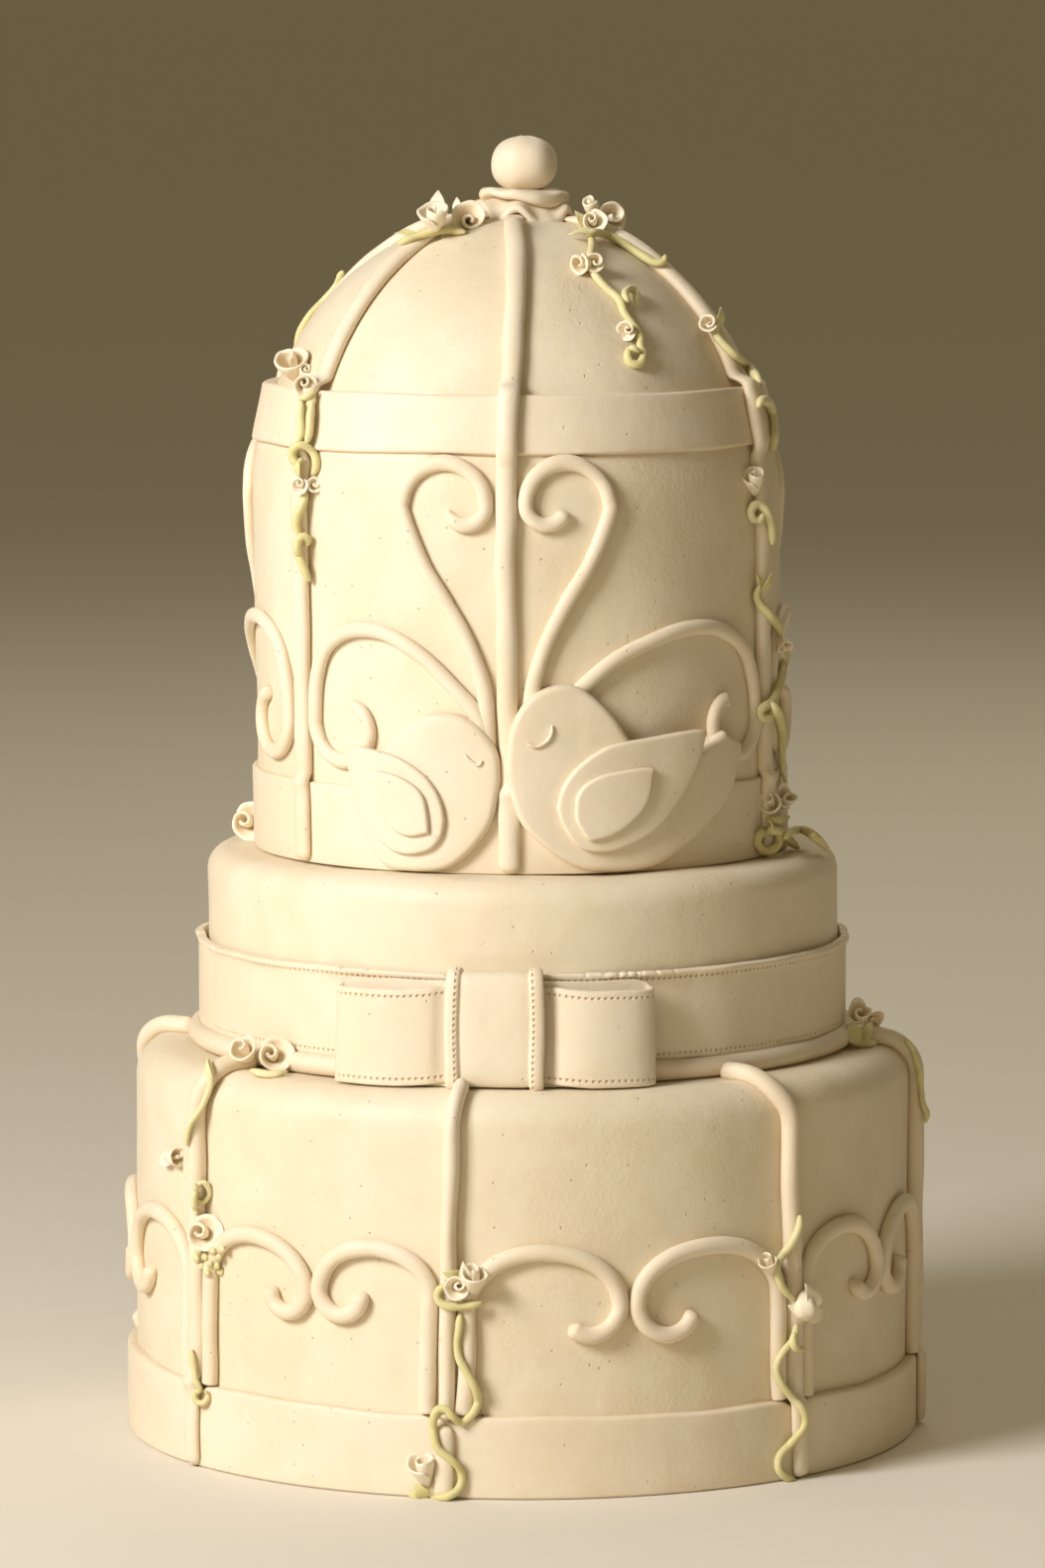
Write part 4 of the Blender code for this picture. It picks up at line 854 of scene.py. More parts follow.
@dataclass
class Vine:
    """A thin hand-rolled stem draped over what is under it."""

    ground: Ground
    route: Sequence[Spot]
    radius: float = 1.7
    seed: int = 0
    tips: tuple[float, float] = (4.0, 4.0)
    sides: int = 10
    step: float = 0.9
    seat: float = 0.72

    def _hop(self, line: Array, along: Array) -> Array:
        """How far the vine rises where it crosses itself.

        Args:
            line: Its flat points.
            along: The distance along it at each.

        Returns:
            The rise at each point.
        """
        rise = np.zeros(len(line))
        for i in range(len(line)):
            earlier = along < along[i] - 5 * self.radius
            if earlier.any():
                near = np.linalg.norm(line[earlier] - line[i], axis=1).min()
                rise[i] = 2.0 * self.radius * math.sqrt(max(1 - (near / (2.2 * self.radius)) ** 2, 0.0))
        return rise

    def _seen(self) -> tuple[Array, Array, Array]:
        """Lays the vine where the photograph shows it.

        Returns:
            Its centres, its ways off the tier and the distances along it.
        """
        pixels = flow([(spot.x, spot.y) for spot in self.route], self.step * PIXELS)
        line = pixels / PIXELS
        along = distances(line)
        stand = self.seat * self.radius
        spots = [Seen(*pixel) for pixel in pixels]
        reaches = np.array([SIGHT.meet(spot, lambda at: self.ground.clear(at, 0.7 * self.radius) - stand)
                            for spot in spots])
        reaches = -self._smooth(-reaches) - self._hop(line, along)
        centres = np.array([SIGHT.at(spot, reach) for spot, reach in zip(spots, reaches)])
        return centres, np.array([self.ground.outward(centre) for centre in centres]), along

    def _laid(self) -> tuple[Array, Array, Array]:
        """Lays the vine by its angles and runs.

        Returns:
            Its centres, its ways off the tier and the distances along it.
        """
        surface = self.ground.surface
        flat, middle = surface.flat(self.route)
        line = flow(flat, self.step)
        along = distances(line)
        angles, runs = np.degrees(line[:, 0] / middle), line[:, 1]
        tops = np.zeros(len(line))
        for i, (angle, run) in enumerate(zip(angles, runs)):
            for side, rise in ((0, 0), (0.7, 0), (-0.7, 0), (0, 0.7), (0, -0.7)):
                place = surface.off(angle, run, side * self.radius, rise * self.radius)
                tops[i] = max(tops[i], self.ground.top(*place))
        tops = self._smooth(tops + self._hop(line, along)) + self.seat * self.radius
        centres = surface.point(angles, runs, tops)
        return centres, centres - surface.point(angles, runs, tops - 10.0), along

    @staticmethod
    def _smooth(tops: Array) -> Array:
        """Spreads the heights of what the vine lies on to their neighbours and smooths them.

        Args:
            tops: The height at each point of the vine.

        Returns:
            The smoothed heights.
        """
        padded = np.pad(tops, 2, mode="edge")
        tops = np.array([padded[i : i + 5].max() for i in range(len(tops))])
        weights = np.exp(-0.5 * (np.arange(-5, 6) / 2.0) ** 2)
        return np.convolve(np.pad(tops, 5, mode="edge"), weights / weights.sum(), mode="valid")

    def skin(self) -> Skin:
        """Builds the vine.

        Returns:
            Its skin, thinned towards both tips.
        """
        centres, out, along = self._seen() if isinstance(self.route[0], Seen) else self._laid()
        size = self.radius * (1 + Ripple(self.seed, 0.09, 16)(along))
        for tip, away in zip(self.tips, (along, along[-1] - along)):
            size = size * (0.30 + 0.70 * np.minimum(away / max(tip, 0.1), 1.0) ** 0.5)
        ahead = unit(np.gradient(centres, axis=0))
        across = unit(np.cross(ahead, out))
        out = np.cross(across, ahead)
        turns = np.arange(self.sides) * 2 * math.pi / self.sides
        ring = across[:, None] * np.cos(turns)[:, None] + out[:, None] * np.sin(turns)[:, None]
        points = centres[:, None] + size[:, None, None] * ring
        # Painted shade on the vine's underside, the half that faces the tier.
        painted_shade = np.tile(np.clip(-0.1 - np.sin(turns), 0.0, 1.0), (len(along), 1))
        return Skin.grid(points, painted_shade)


@dataclass
class Plate:
    """A cut-out piece of rolled icing with soft edges, laid over a tier."""

    surface: Surface
    centre: float
    hand: int
    upper: Sequence[Point]
    lower: Sequence[Point]
    low: float
    crest: float
    edge: float
    middle: Point
    over: Callable[[Array], Array] | None = None
    seed: int = 0

    def outline(self) -> Array:
        """The plate's outline.

        Returns:
            Its dense (side, height) points.
        """
        ends = np.array([self.upper[0], self.upper[-1]], float)
        under = [spot for spot in reversed(self.lower) if np.linalg.norm(ends - spot, axis=1).min() > 1.5]
        corners = [*self.upper, *under]
        return flow(corners + corners[:1], 1.0)[:-1]

    def skin(self) -> Skin:
        """Builds the plate.

        Returns:
            Its skin, rounded over at the edge.
        """
        line = self.outline()
        way = unit(np.roll(line, -2, axis=0) - np.roll(line, 2, axis=0))
        inward = np.column_stack([way[:, 1], -way[:, 0]])
        centre = np.array(self.middle)
        if np.mean(np.sum(inward * (centre - line), axis=1)) < 0:
            inward = -inward
        rows, lifts, painted_shades = [], [], []
        # Painted shade near the plate's foot, where it meets what is under it; its rounded edge and face get
        # none.
        for lift in (self.low, self.low + 0.9, self.crest - self.edge):
            rows.append(line)
            lifts.append(np.full(len(line), lift))
            painted_shades.append(np.full(len(line), math.exp(-(((lift - self.low) / 1.1) ** 2))))
        for turn in np.radians((15, 32, 50, 70, 90)):
            rows.append(line + inward * self.edge * (1 - math.cos(turn)))
            lifts.append(np.full(len(line), self.crest - self.edge * (1 - math.sin(turn))))
            painted_shades.append(np.zeros(len(line)))
        last = rows[-1]
        for share in np.linspace(0.1, 0.99, 22):
            rows.append(last + (centre - last) * share)
            lifts.append(np.full(len(line), self.crest))
            painted_shades.append(np.zeros(len(line)))
        sides, heights = np.moveaxis(np.array(rows), -1, 0)
        lift = np.array(lifts)
        top = lift > self.low + 1.0
        swell = 0.25 * np.sin(sides * 0.11 + self.seed) * np.sin(heights * 0.13 + 2 * self.seed)
        if self.over is not None:
            swell = swell + self.over(sides)
        lift = lift + np.where(top, swell, 0.0)
        angles = self.centre + np.degrees(self.hand * sides / self.surface.outline[0, 0])
        runs = np.interp(heights, self.surface.outline[:, 1], self.surface.runs)
        return Skin.grid(self.surface.point(angles, runs, lift), np.array(painted_shades))


@dataclass
class Stitched:
    """A strip of icing with soft edges and rows of pressed holes along it."""

    length: float
    place: Callable[[Array, Array, Array, Array], Array]
    rows: Sequence[tuple[float, float]]
    holes: Sequence[tuple[float, float]]
    shape: Callable[[Array, Array], Array]
    thick: float
    pitch: float = 2.5
    hole: Point = (1.15, 0.95)
    depth: float = 0.75
    loop: bool = False

    def skin(self) -> Skin:
        """Builds the strip.

        A row is a distance from the low edge plus a share of the strip's width, so that the holes keep
        their distance from either edge.

        Returns:
            Its skin.
        """
        count = max(int(round(self.length / self.pitch)), 2)
        pitch = self.length / count
        lip = 0.12
        half = self.hole[0] / 2
        cuts = np.array([-half - lip, -half + lip, half - lip, half + lip])
        along = (np.arange(count)[:, None] * pitch + pitch / 2 + cuts).ravel()
        inside_along = np.tile([False, True, True, False], count)
        if not self.loop:
            along = np.concatenate([[0.0], along, [self.length]])
            inside_along = np.concatenate([[False], inside_along, [False]])
        rows = [(place, share, False) for place, share in self.rows]
        tall = self.hole[1] / 2
        for place, share in self.holes:
            rows += [(place + side * (tall + lip), share, False) for side in (-1, 1)]
            rows += [(place + side * (tall - lip), share, True) for side in (-1, 1)]
        rows.sort(key=lambda row: row[0] + 1000 * row[1])
        shift, share = np.array([row[0] for row in rows]), np.array([row[1] for row in rows])
        pressed = inside_along[:, None] & np.array([row[2] for row in rows])
        out = self.shape(shift, share)[None, :] - self.depth * pressed
        where, shift, share = np.broadcast_arrays(along[:, None], shift, share)
        first = self.place(where, shift, share, out)
        back = [-1, 0]
        behind = self.place(
            where[:, back], shift[:, back], share[:, back], np.full((len(along), 2), -self.thick))
        points = np.concatenate([first, behind], axis=1)
        # Painted shade in the pressed holes.
        painted_shade = np.concatenate([np.where(pressed, 0.95, 0.0), np.zeros((len(along), 2))], axis=1)
        return Skin.grid(points, painted_shade, loop=self.loop)


# The cake's dimensions

BOTTOM_RADIUS, BOTTOM_HEIGHT, BOTTOM_EDGE = 162.0, 163.0, 14.0
MIDDLE_RADIUS, MIDDLE_HEIGHT, MIDDLE_EDGE = 132.0, 82.0, 10.0
MIDDLE_FOOT = BOTTOM_HEIGHT + GAP
CAGE_FOOT = MIDDLE_FOOT + MIDDLE_HEIGHT - GAP
CAGE_BASE = CAGE_FOOT + GAP
CAGE_RADIUS, CAGE_SHOULDER = 109.7, 155.0
CAGE_TAPER = ((-10.0, 0.0), (0.0, 0.5), (12.0, 2.2))
DOME_RADIUS, DOME_CENTRE, DOME_START = 104.5, 158.5, 18.7
RIB_WIDTH, RIB_HEIGHT, SLIM_RIB = 7.8, 7.0, 6.5
CAGE_RIB_WIDTH, CAGE_RIB_HEIGHT = 8.3, 5.5
SCROLL_WIDTH, SCROLL_HEIGHT = 7.0, 5.6
CURL_WIDTH, CURL_HEIGHT = 6.3, 4.8
BAND_THICK, CAGE_FOOT_THICK = 4.3, 2.0
CAGE_FOOT_TOP = CAGE_BASE + 33.5
RIM_LOW, RIM_HIGH = CAGE_BASE + 169.0, CAGE_BASE + 192.0
RIM_THICK = (3.0, 5.6)
VINE_RADIUS = 1.7
FLOOR_GAP = 0.1

# Ribs of the bottom tier: angle at the foot, at the top of the wall, and at the start on the ledge
BOTTOM_RIBS = {
    "a": (-104.0, -104.0, -94.0), "b": (-53.5, -53.5, -51.5), "c": (-11.0, -9.9, -8.8),
    "d": (42.3, 40.8, 35.5), "e": (86.5, 86.0, 82.0), "f": (129.0, 129.0, 133.0),
    "g": (171.0, 171.0, 167.0), "h": (213.0, 213.0, 217.0),
}
# Ribs of the birdcage: angle at the foot and at the crown
CAGE_RIBS = {
    "front": (-2.2, 0.5), "right": (64.2, 67.0), "back_right": (121.0, 121.0), "back": (180.0, 178.0),
    "back_left": (245.5, 246.0), "left": (-52.0, -51.0),
}
# The ribs that carry heart and loop scrolls: angle, and the reach of the left and of the right loop
CAGE_MOTIFS = {"front": (-2.2, 88.0, 119.5), "right": (121.0, 101.5, 105.0), "left": (245.5, 117.0, 109.5)}
# Each panel: its ribs, how far each rope's curl turns, its radius as a share, and where the ropes meet
PANELS = {
    "ab": ("a", "b", (170, 170), (0.2, 0.2), 0.5), "bc": ("b", "c", (190, 185), (0.16, 0.2), 0.52),
    "cd": ("c", "d", (130, 160), (0.2, 0.2), 0.49), "de": ("d", "e", (150, 185), (0.2, 0.2), 0.49),
    "ef": ("e", "f", (170, 150), (0.2, 0.18), 0.5), "fg": ("f", "g", (180, 160), (0.19, 0.2), 0.49),
    "gh": ("g", "h", (150, 180), (0.2, 0.18), 0.51), "ha": ("h", "a", (170, 170), (0.2, 0.2), 0.5),
}


def ease(value: Number, start: float, end: float) -> Number:
    """A ramp with soft ends."""
    share = ramp(value, start, end)
    return share * share * (3 - 2 * share)


def upright(radius: float, foot: float, height: float, edge: float) -> Surface:
    """A tier with a rounded top edge.

    Args:
        radius: Its radius.
        foot: The height that it stands at.
        height: Its own height.
        edge: The radius of its top edge.

    Returns:
        Its surface.
    """
    top = foot + height
    turns = np.linspace(0, math.pi / 2, 25)
    corner = [(radius - edge + edge * math.cos(turn), top - edge + edge * math.sin(turn)) for turn in turns]
    return Surface(np.array([(radius, foot), *corner, (0.0, top)]))


def birdcage() -> Surface:
    """The cage's wall, its shoulder under the rim band, and the dome.

    Returns:
        Its surface.
    """
    shoulder = [(CAGE_RADIUS - inward, CAGE_BASE + CAGE_SHOULDER + rise) for rise, inward in CAGE_TAPER]
    centre = CAGE_FOOT + DOME_CENTRE
    dome = [(DOME_RADIUS * math.cos(turn), centre + DOME_RADIUS * math.sin(turn))
            for turn in np.linspace(math.radians(DOME_START), math.pi / 2, 48)]
    outline = np.array([(CAGE_RADIUS, CAGE_BASE), *shoulder, *dome])
    return Surface(outline, lean=-2.9, shift=-0.6, lean_from=CAGE_FOOT, lean_rise=195.0)


BOTTOM = upright(BOTTOM_RADIUS, 0.0, BOTTOM_HEIGHT, BOTTOM_EDGE)
MIDDLE = upright(MIDDLE_RADIUS, MIDDLE_FOOT, MIDDLE_HEIGHT - GAP, MIDDLE_EDGE)
CAGE = birdcage()
RIM_RUNS = (CAGE.run_at(RIM_LOW), CAGE.run_at(RIM_HIGH))


def ledge(surface: Surface, radius: float) -> float:
    """The run of a place on a tier's flat top."""
    return float(surface.runs[-1] - radius)


def rib_angle(letter: str, run: float) -> float:
    """The angle of a bottom rib's centre at a run.

    Args:
        letter: Which rib.
        run: The run.

    Returns:
        The angle in degrees.
    """
    foot, top, start = BOTTOM_RIBS[letter]
    wall = BOTTOM_HEIGHT - BOTTOM_EDGE
    if run <= wall:
        return foot + (top - foot) * run / wall
    return top + (start - top) * float(ramp(run, wall, wall + 27.0))


def cage_rib_angle(key: str, run: float) -> float:
    """The angle of a cage rib's centre at a run."""
    foot, crown = CAGE_RIBS[key]
    return foot + (crown - foot) * float(ramp(run, 400.0, 480.0))


def band_top(angle: float) -> float:
    """The rough height of the base band, which is tallest at the left."""
    return 33.0 + 3.0 * math.cos(math.radians(angle + 83.0))


def band_rise(angle: float) -> float:
    """The height of the hand-cut base band, which wavers and dips beside the ribs.

    Args:
        angle: The angle in degrees.

    Returns:
        The height.
    """
    turn = math.radians(angle)
    rise = band_top(angle) + math.sin(2 * turn)
    rise += 0.35 * math.sin(9 * turn + 1.0) + 0.2 * math.sin(23 * turn)
    for foot, _, _ in BOTTOM_RIBS.values():
        away = abs((angle - foot + 180) % 360 - 180)
        rise -= 2.2 * math.exp(-(((away - 1.2) / 0.75) ** 2))
    return rise


def bottom_base(angle: float, run: float) -> float:
    """The lift of a rope's underside: on the wall, or over the base band."""
    over = band_top(angle)
    return BAND_THICK * float(ease(run, over + 5.0, over - 0.5))


def cage_base(angle: float, run: float) -> float:
    """The lift of a rope's underside over the cage's foot band and rim band.

    Args:
        angle: The place's angle, which changes nothing.
        run: The place's run.

    Returns:
        The lift.
    """
    foot = CAGE_FOOT_THICK * float(ease(run, CAGE_FOOT_TOP + 4.0, CAGE_FOOT_TOP - 0.5))
    low, high = RIM_RUNS
    thick = RIM_THICK[0] + (RIM_THICK[1] - RIM_THICK[0]) * float(ramp(run, low, high))
    return max(foot, thick * float(min(ease(run, low - 5.0, low), ease(run, high + 6.0, high))))


def on_wall(angle: float, run: float) -> float:
    """The lift of what lies straight on a tier."""
    return 0.0


def cage_rib_height(run: Array) -> Array:
    """How thick a cage rib is: less under the cap and over the foot band.

    Args:
        run: The runs along it.

    Returns:
        The thickness at each.
    """
    top = CAGE.runs[-1]
    thin = CAGE_RIB_HEIGHT + (2.3 - CAGE_RIB_HEIGHT) * ease(run, top - 36.0, top - 22.0)
    return thin - 1.2 * ease(run, CAGE_FOOT_TOP, CAGE_FOOT_TOP - 5)


def bottom_rib_height(run: Array) -> Array:
    """How thick a bottom rib is: less over the base band."""
    return RIB_HEIGHT - 2.8 * ease(run, 38.0, 30.0)


# Sub-assemblies


@dataclass
class Tiers:
    """The three tiers' icing, whose close rows follow the wall and go on a little past it."""

    seed: int = 5
    pitch: float = 2.2
    count: int = 26
    past: Size = (14.0, 12.0, 104.0)

    def build(self, bench: Bench) -> dict[str, Skin]:
        """Puts the tiers on the bench.

        Args:
            bench: Where the pieces are made.

        Returns:
            Each tier's skin by its name.
        """
        skins = {}
        tiers = ("bottom", BOTTOM, 0.0), ("middle", MIDDLE, MIDDLE_FOOT), ("top", CAGE, CAGE_BASE)
        for i, (word, surface, low) in enumerate(tiers):
            name = "tier_" + word
            top = surface.runs[-1]
            wall = np.arange(low, top - surface.radius(low) + self.past[i], self.pitch)
            runs = np.concatenate([wall, np.linspace(wall[-1] + 2, top - 6, self.count)])
            skins[name] = surface.turned(runs, Dimple(self.seed + i, 0.28))
            bench.put(name, skins[name], Slot.TIER, name)
        return skins


@dataclass
class Bands:
    """The rolled-out bands round the tiers and the thin roll at the middle tier's foot."""

    seed: int = 31
    foot_thick: Point = (2.2, 2.2)
    rim_thick: Point = (3.1, 5.6)

    def _strip(self, surface: Surface, low: Callable[[float], float], high: Callable[[float], float],
               thick: tuple[float, float], seed: int, soft: float) -> Skin:
        """A band between two hand-cut edges.

        Args:
            surface: The tier that it goes round.
            low: The run of its lower edge at an angle.
            high: The run of its upper edge at an angle.
            thick: How thick it is at its lower and at its upper edge.
            seed: What its unevenness is drawn from.
            soft: How round its edges are.

        Returns:
            Its skin.
        """
        swell = Dimple(seed, 0.10)

        def section(angle: float) -> list[Point]:
            """The band's outline at an angle.

            Args:
                angle: The angle.

            Returns:
                Its (radius, height) points.
            """
            foot, top = low(angle), high(angle)
            rows = [(foot, -0.3), (foot, thick[0] - soft)]
            rows += [(foot + soft * (1 - math.cos(t)), thick[0] - soft * (1 - math.sin(t)))
                     for t in np.radians((30, 60, 90))]
            for share in (0.2, 0.4, 0.6, 0.8):
                rows.append((foot + (top - foot) * share, thick[0] + (thick[1] - thick[0]) * share))
            rows += [(top - 1.3 * soft * (1 - math.cos(t)), thick[1] - 1.3 * soft * (1 - math.sin(t)))
                     for t in np.radians((90, 68, 45, 22))]
            rows += [(top, thick[1] - 1.5 * soft), (top, -0.3)]
            points = []
            for run, lift in rows:
                out, up = surface.normal(run)
                lift += float(swell(angle, run)) if lift > 0 else 0.0
                place = surface.radius(run) + lift * out, surface.height(run) + lift * up
                points.append((float(place[0]), float(place[1])))
            return points

        # Painted shade along both edges of the band, where it meets the tier.
        painted_shades = [0.9, 0.35] + [0.0] * 11 + [0.35, 0.9]
        return surface.ring(section, painted_shades, 480)

    def build(self, bench: Bench) -> dict[str, Skin]:
        """Puts the bands on the bench.

        Args:
            bench: Where the pieces are made.

        Returns:
            The skins of the bands that ribs cross.
        """
        waver = [Ripple(self.seed + i, 0.30, 60) for i in range(4)]
        base = self._strip(BOTTOM, lambda angle: 0.2, band_rise, (BAND_THICK, BAND_THICK), 1, 1.3)
        foot = self._strip(
            CAGE, lambda angle: CAGE_BASE + 0.1,
            lambda angle: CAGE_FOOT_TOP + float(waver[0](angle * 1.9)), self.foot_thick, 2, 0.9)
        rim = self._strip(
            CAGE, lambda angle: RIM_RUNS[0] + float(waver[1](angle * 1.9)),
            lambda angle: RIM_RUNS[1] + float(waver[2](angle * 1.9)), self.rim_thick, 3, 1.2)

        def roll(angle: float) -> list[Point]:
            """The roll's outline at an angle."""
            size = 4.25 + float(waver[3](angle * 2.3)) * 0.4
            return arc((MIDDLE_RADIUS + 0.2 + size, MIDDLE_FOOT + size), size, 0, 337.5, 16)

        # Painted shade on the roll's side against the tier and on its underside, a little on its lower
        # outside.
        rolled = MIDDLE.ring(roll, [0.0] * 5 + [0.7] * 8 + [0.2] * 3, 360)
        for name, skin in (("band_bottom", base), ("band_cage_foot", foot), ("band_cage_rim", rim),
                           ("roll_middle", rolled)):
            bench.trim(name, skin)
        return {"bottom": base, "foot": foot, "rim": rim, "roll": rolled}


def soft_edge(shift: Array, share: Array, soft: float) -> Array:
    """How far a strip's face draws back towards its edges."""
    away = np.minimum(np.abs(shift) / soft, 1.0)
    return soft * (np.sqrt(np.maximum(1 - (1 - away) ** 2, 0.0)) - 1)


@dataclass
class Ribbon:
    """The stitched ribbon round the middle tier, with its flared and cracked upper lip."""

    low: float = MIDDLE_FOOT + 7.8
    high: float = MIDDLE_FOOT + 44.8
    thick: float = 3.4
    lip: float = 1.2
    seed: int = 71

    def build(self, bench: Bench) -> None:
        """Puts the ribbon on the bench.

        Args:
            bench: Where the piece is made.
        """
        radius = MIDDLE_RADIUS + 0.3 + self.thick
        waver, swell = Ripple(self.seed, 0.22, 70), Ripple(self.seed + 1, 0.20, 45)
        draw = np.random.default_rng(self.seed)
        cracks = np.concatenate([draw.uniform(0, 360, 26), draw.uniform(8, 28, 9)])
        depths = draw.uniform(0.4, 1.1, len(cracks))

        def place(along: Array, shift: Array, share: Array, out: Array) -> Array:
            """Where the ribbon's points are.

            Args:
                along: The distance round the tier.
                shift: The distance from the low or high edge.
                share: 0 at the low edge and 1 at the high one.
                out: The distance off the ribbon's face.

            Returns:
                The points.
            """
            angle = np.degrees(along / radius)
            height = self.low + (self.high - self.low) * share + shift
            height = height + waver(along) * (1.6 * share - 0.6)
            flare = self.lip * share * ease(shift, -5.0, -0.8) * (1 + 1.5 * swell(along))
            top = share * ease(shift, -2.4, -0.2)
            for crack, depth in zip(cracks, depths):
                near = np.exp(-(((angle - crack) * radius / 57.3 / 0.55) ** 2))
                height, flare = height - top * near * depth, flare - 0.5 * top * near * depth
            return MIDDLE.place(angle, radius + out + flare + swell(along) * 0.6, height)

        edge = (0.0, 0.3, 0.8, 1.5)
        rows = [(step, 0.0) for step in edge] + [(8.0, 0.0), (14.0, 0.0), (20.0, 0.0)]
        rows += [(-8.0, 1.0), (-5.0, 1.0)] + [(-step, 1.0) for step in reversed(edge)]
        strip = Stitched(2 * math.pi * radius, place, rows, [(2.9, 0.0), (-2.9, 1.0)],
                         lambda shift, share: soft_edge(shift, share, 1.2), self.thick, loop=True)
        bench.trim("ribbon_middle", strip.skin())


@dataclass
class Bow:
    """The stitched bow: two folded loops and the knot over their middle."""

    angle: float = -4.8
    half: float = 18.8
    shift: float = 1.1
    knot_lift: float = 10.4
    lift: float = 8.5
    thick: float = 2.1
    front: float = 39.2
    back: float = 42.6
    high: float = 47.0

    def _point(self, side: Array, lift: Array, rise: Array) -> Array:
        """A point of the bow, whose back leans in above the roll.

        Args:
            side: The distance to the right of the bow's middle.
            lift: The distance off the ribbon.
            rise: The height above the tier's foot.

        Returns:
            The point.
        """
        radius = MIDDLE_RADIUS + self.lift
        angle = self.angle + np.degrees(side / radius)
        return MIDDLE.place(angle, radius + lift - 2.6 * rise / self.high, MIDDLE_FOOT + rise)

    @staticmethod
    def _follow(path: Array) -> tuple[Array, Array]:
        """The distance along a path and its normals.

        Args:
            path: Its points, 2 numbers each.

        Returns:
            The distance at each point, and the unit vectors to its left.
        """
        along = distances(path)
        way = unit(np.gradient(path, axis=0))
        return along, np.column_stack([-way[:, 1], way[:, 0]])

    def loop(self, hand: int) -> Skin:
        """One loop.

        Args:
            hand: -1 for the left one and 1 for the right one.

        Returns:
            A strip that leaves the knot, swells, turns and comes back behind itself.
        """
        start = self.half + hand * self.shift - 1.5
        front = [(start, 4.4), (start + 4, 5.2), (start + 9, 8.0), (36, 10.3), (46, 11.0), (56, 10.3)]
        turned = [(62.5, 8.2), (64.6, 5.2), (62.6, 2.6), (56, 1.9), (44, 1.7), (30, 1.6), (start, 1.6)]
        path = flow(front + turned, 1.0)
        along, normals = self._follow(path)
        turn = along[int(np.argmax(path[:, 0]))]
        waver = Ripple(90 + hand, 0.25, 30)

        def place(where: Array, shift: Array, share: Array, out: Array) -> Array:
            """Where the loop's points are.

            Args:
                where: The distance along the strip.
                shift: The distance from the low or high edge.
                share: 0 at the low edge and 1 at the high one.
                out: The distance off the strip's face.

            Returns:
                The points.
            """
            side, lift = (np.interp(where, along, path[:, k]) for k in (0, 1))
            nx, ny = (np.interp(where, along, normals[:, k]) for k in (0, 1))
            pinch = np.clip(1 - (side - start) / 20.0, 0.0, 1.0) * (where < turn)
            low = 0.3 + 1.6 * pinch + 0.5 * waver(where)
            high = self.front + (self.back - self.front) * ease(where, turn - 4, turn + 10) + 2.2 * pinch
            rise = low + (high + waver(where) - low) * share + shift
            bulge = 0.5 * np.sin(math.pi * np.clip(rise / 40, 0, 1)) * (where < turn)
            deep = np.maximum(lift + (out + bulge) * ny, 0.15)
            return self._point(hand * (side + out * nx), deep, rise)

        edge = (0.0, 0.25, 0.7, 1.4)
        rows = [(step, 0.0) for step in edge] + [(8.0, 0.0), (14.0, 0.0), (-14.0, 1.0), (-8.0, 1.0)]
        rows += [(-step, 1.0) for step in reversed(edge)]
        return Stitched(float(along[-1]), place, rows, [(2.9, 0.0), (-2.9, 1.0)],
                        lambda shift, share: soft_edge(shift, share, 1.0), self.thick).skin()

    def knot(self) -> Skin:
        """The knot.

        Returns:
            A strip folded over the bow's middle, with a rolled edge at each side.
        """
        path = flow([(0.2, 1.6), (5.0, 0.5), (8.6, 1.8), (10.1, 7.0), (self.knot_lift, 16.0),
                     (self.knot_lift, 32.0), (10.2, 40.0), (8.9, 45.0), (5.4, self.high), (0.2, 46.4)], 1.0)
        along, normals = self._follow(path)
        waver = Ripple(99, 0.2, 25)

        def place(where: Array, shift: Array, share: Array, out: Array) -> Array:
            """Where the knot's points are.

            Args:
                where: The distance up the strip.
                shift: The distance from the left or right edge.
                share: 0 at the left edge and 1 at the right one.
                out: The distance off the strip's face.

            Returns:
                The points.
            """
            lift, rise = (np.interp(where, along, path[:, k]) for k in (0, 1))
            nx, ny = (np.interp(where, along, normals[:, k]) for k in (0, 1))
            side = self.shift + self.half * (2 * share - 1) + shift + waver(where) * (2 * share - 1)
            return self._point(side, np.maximum(lift - out * nx, 0.1), rise - out * ny)

        def shape(shift: Array, share: Array) -> Array:
            """How far the knot's face stands out.

            Args:
                shift: The distance from the left or right edge.
                share: Not used.

            Returns:
                The distance, more on the rolled edges and less beside them.
            """
            away = np.abs(shift)
            roll = 1.5 * np.sqrt(np.maximum(1 - ((away - 2.7) / 2.8) ** 2, 0.0))
            return roll - 0.25 * np.exp(-(((away - 6.0) / 0.8) ** 2))

        edge = (0.0, 0.25, 0.7, 1.4, 2.2, 5.1, 5.5, 6.0, 6.8, 9.0, 13.0)
        rows = [(step, 0.0) for step in edge] + [(-step, 1.0) for step in reversed(edge)]
        return Stitched(float(along[-1]), place, rows, [(4.0, 0.0), (-4.0, 1.0)], shape, 2.0).skin()

    def build(self, bench: Bench) -> None:
        """Puts the bow on the bench.

        Args:
            bench: Where the pieces are made.
        """
        bench.trim("bow_loop_left", self.loop(-1))
        bench.trim("bow_loop_right", self.loop(1))
        bench.trim("bow_knot", self.knot())


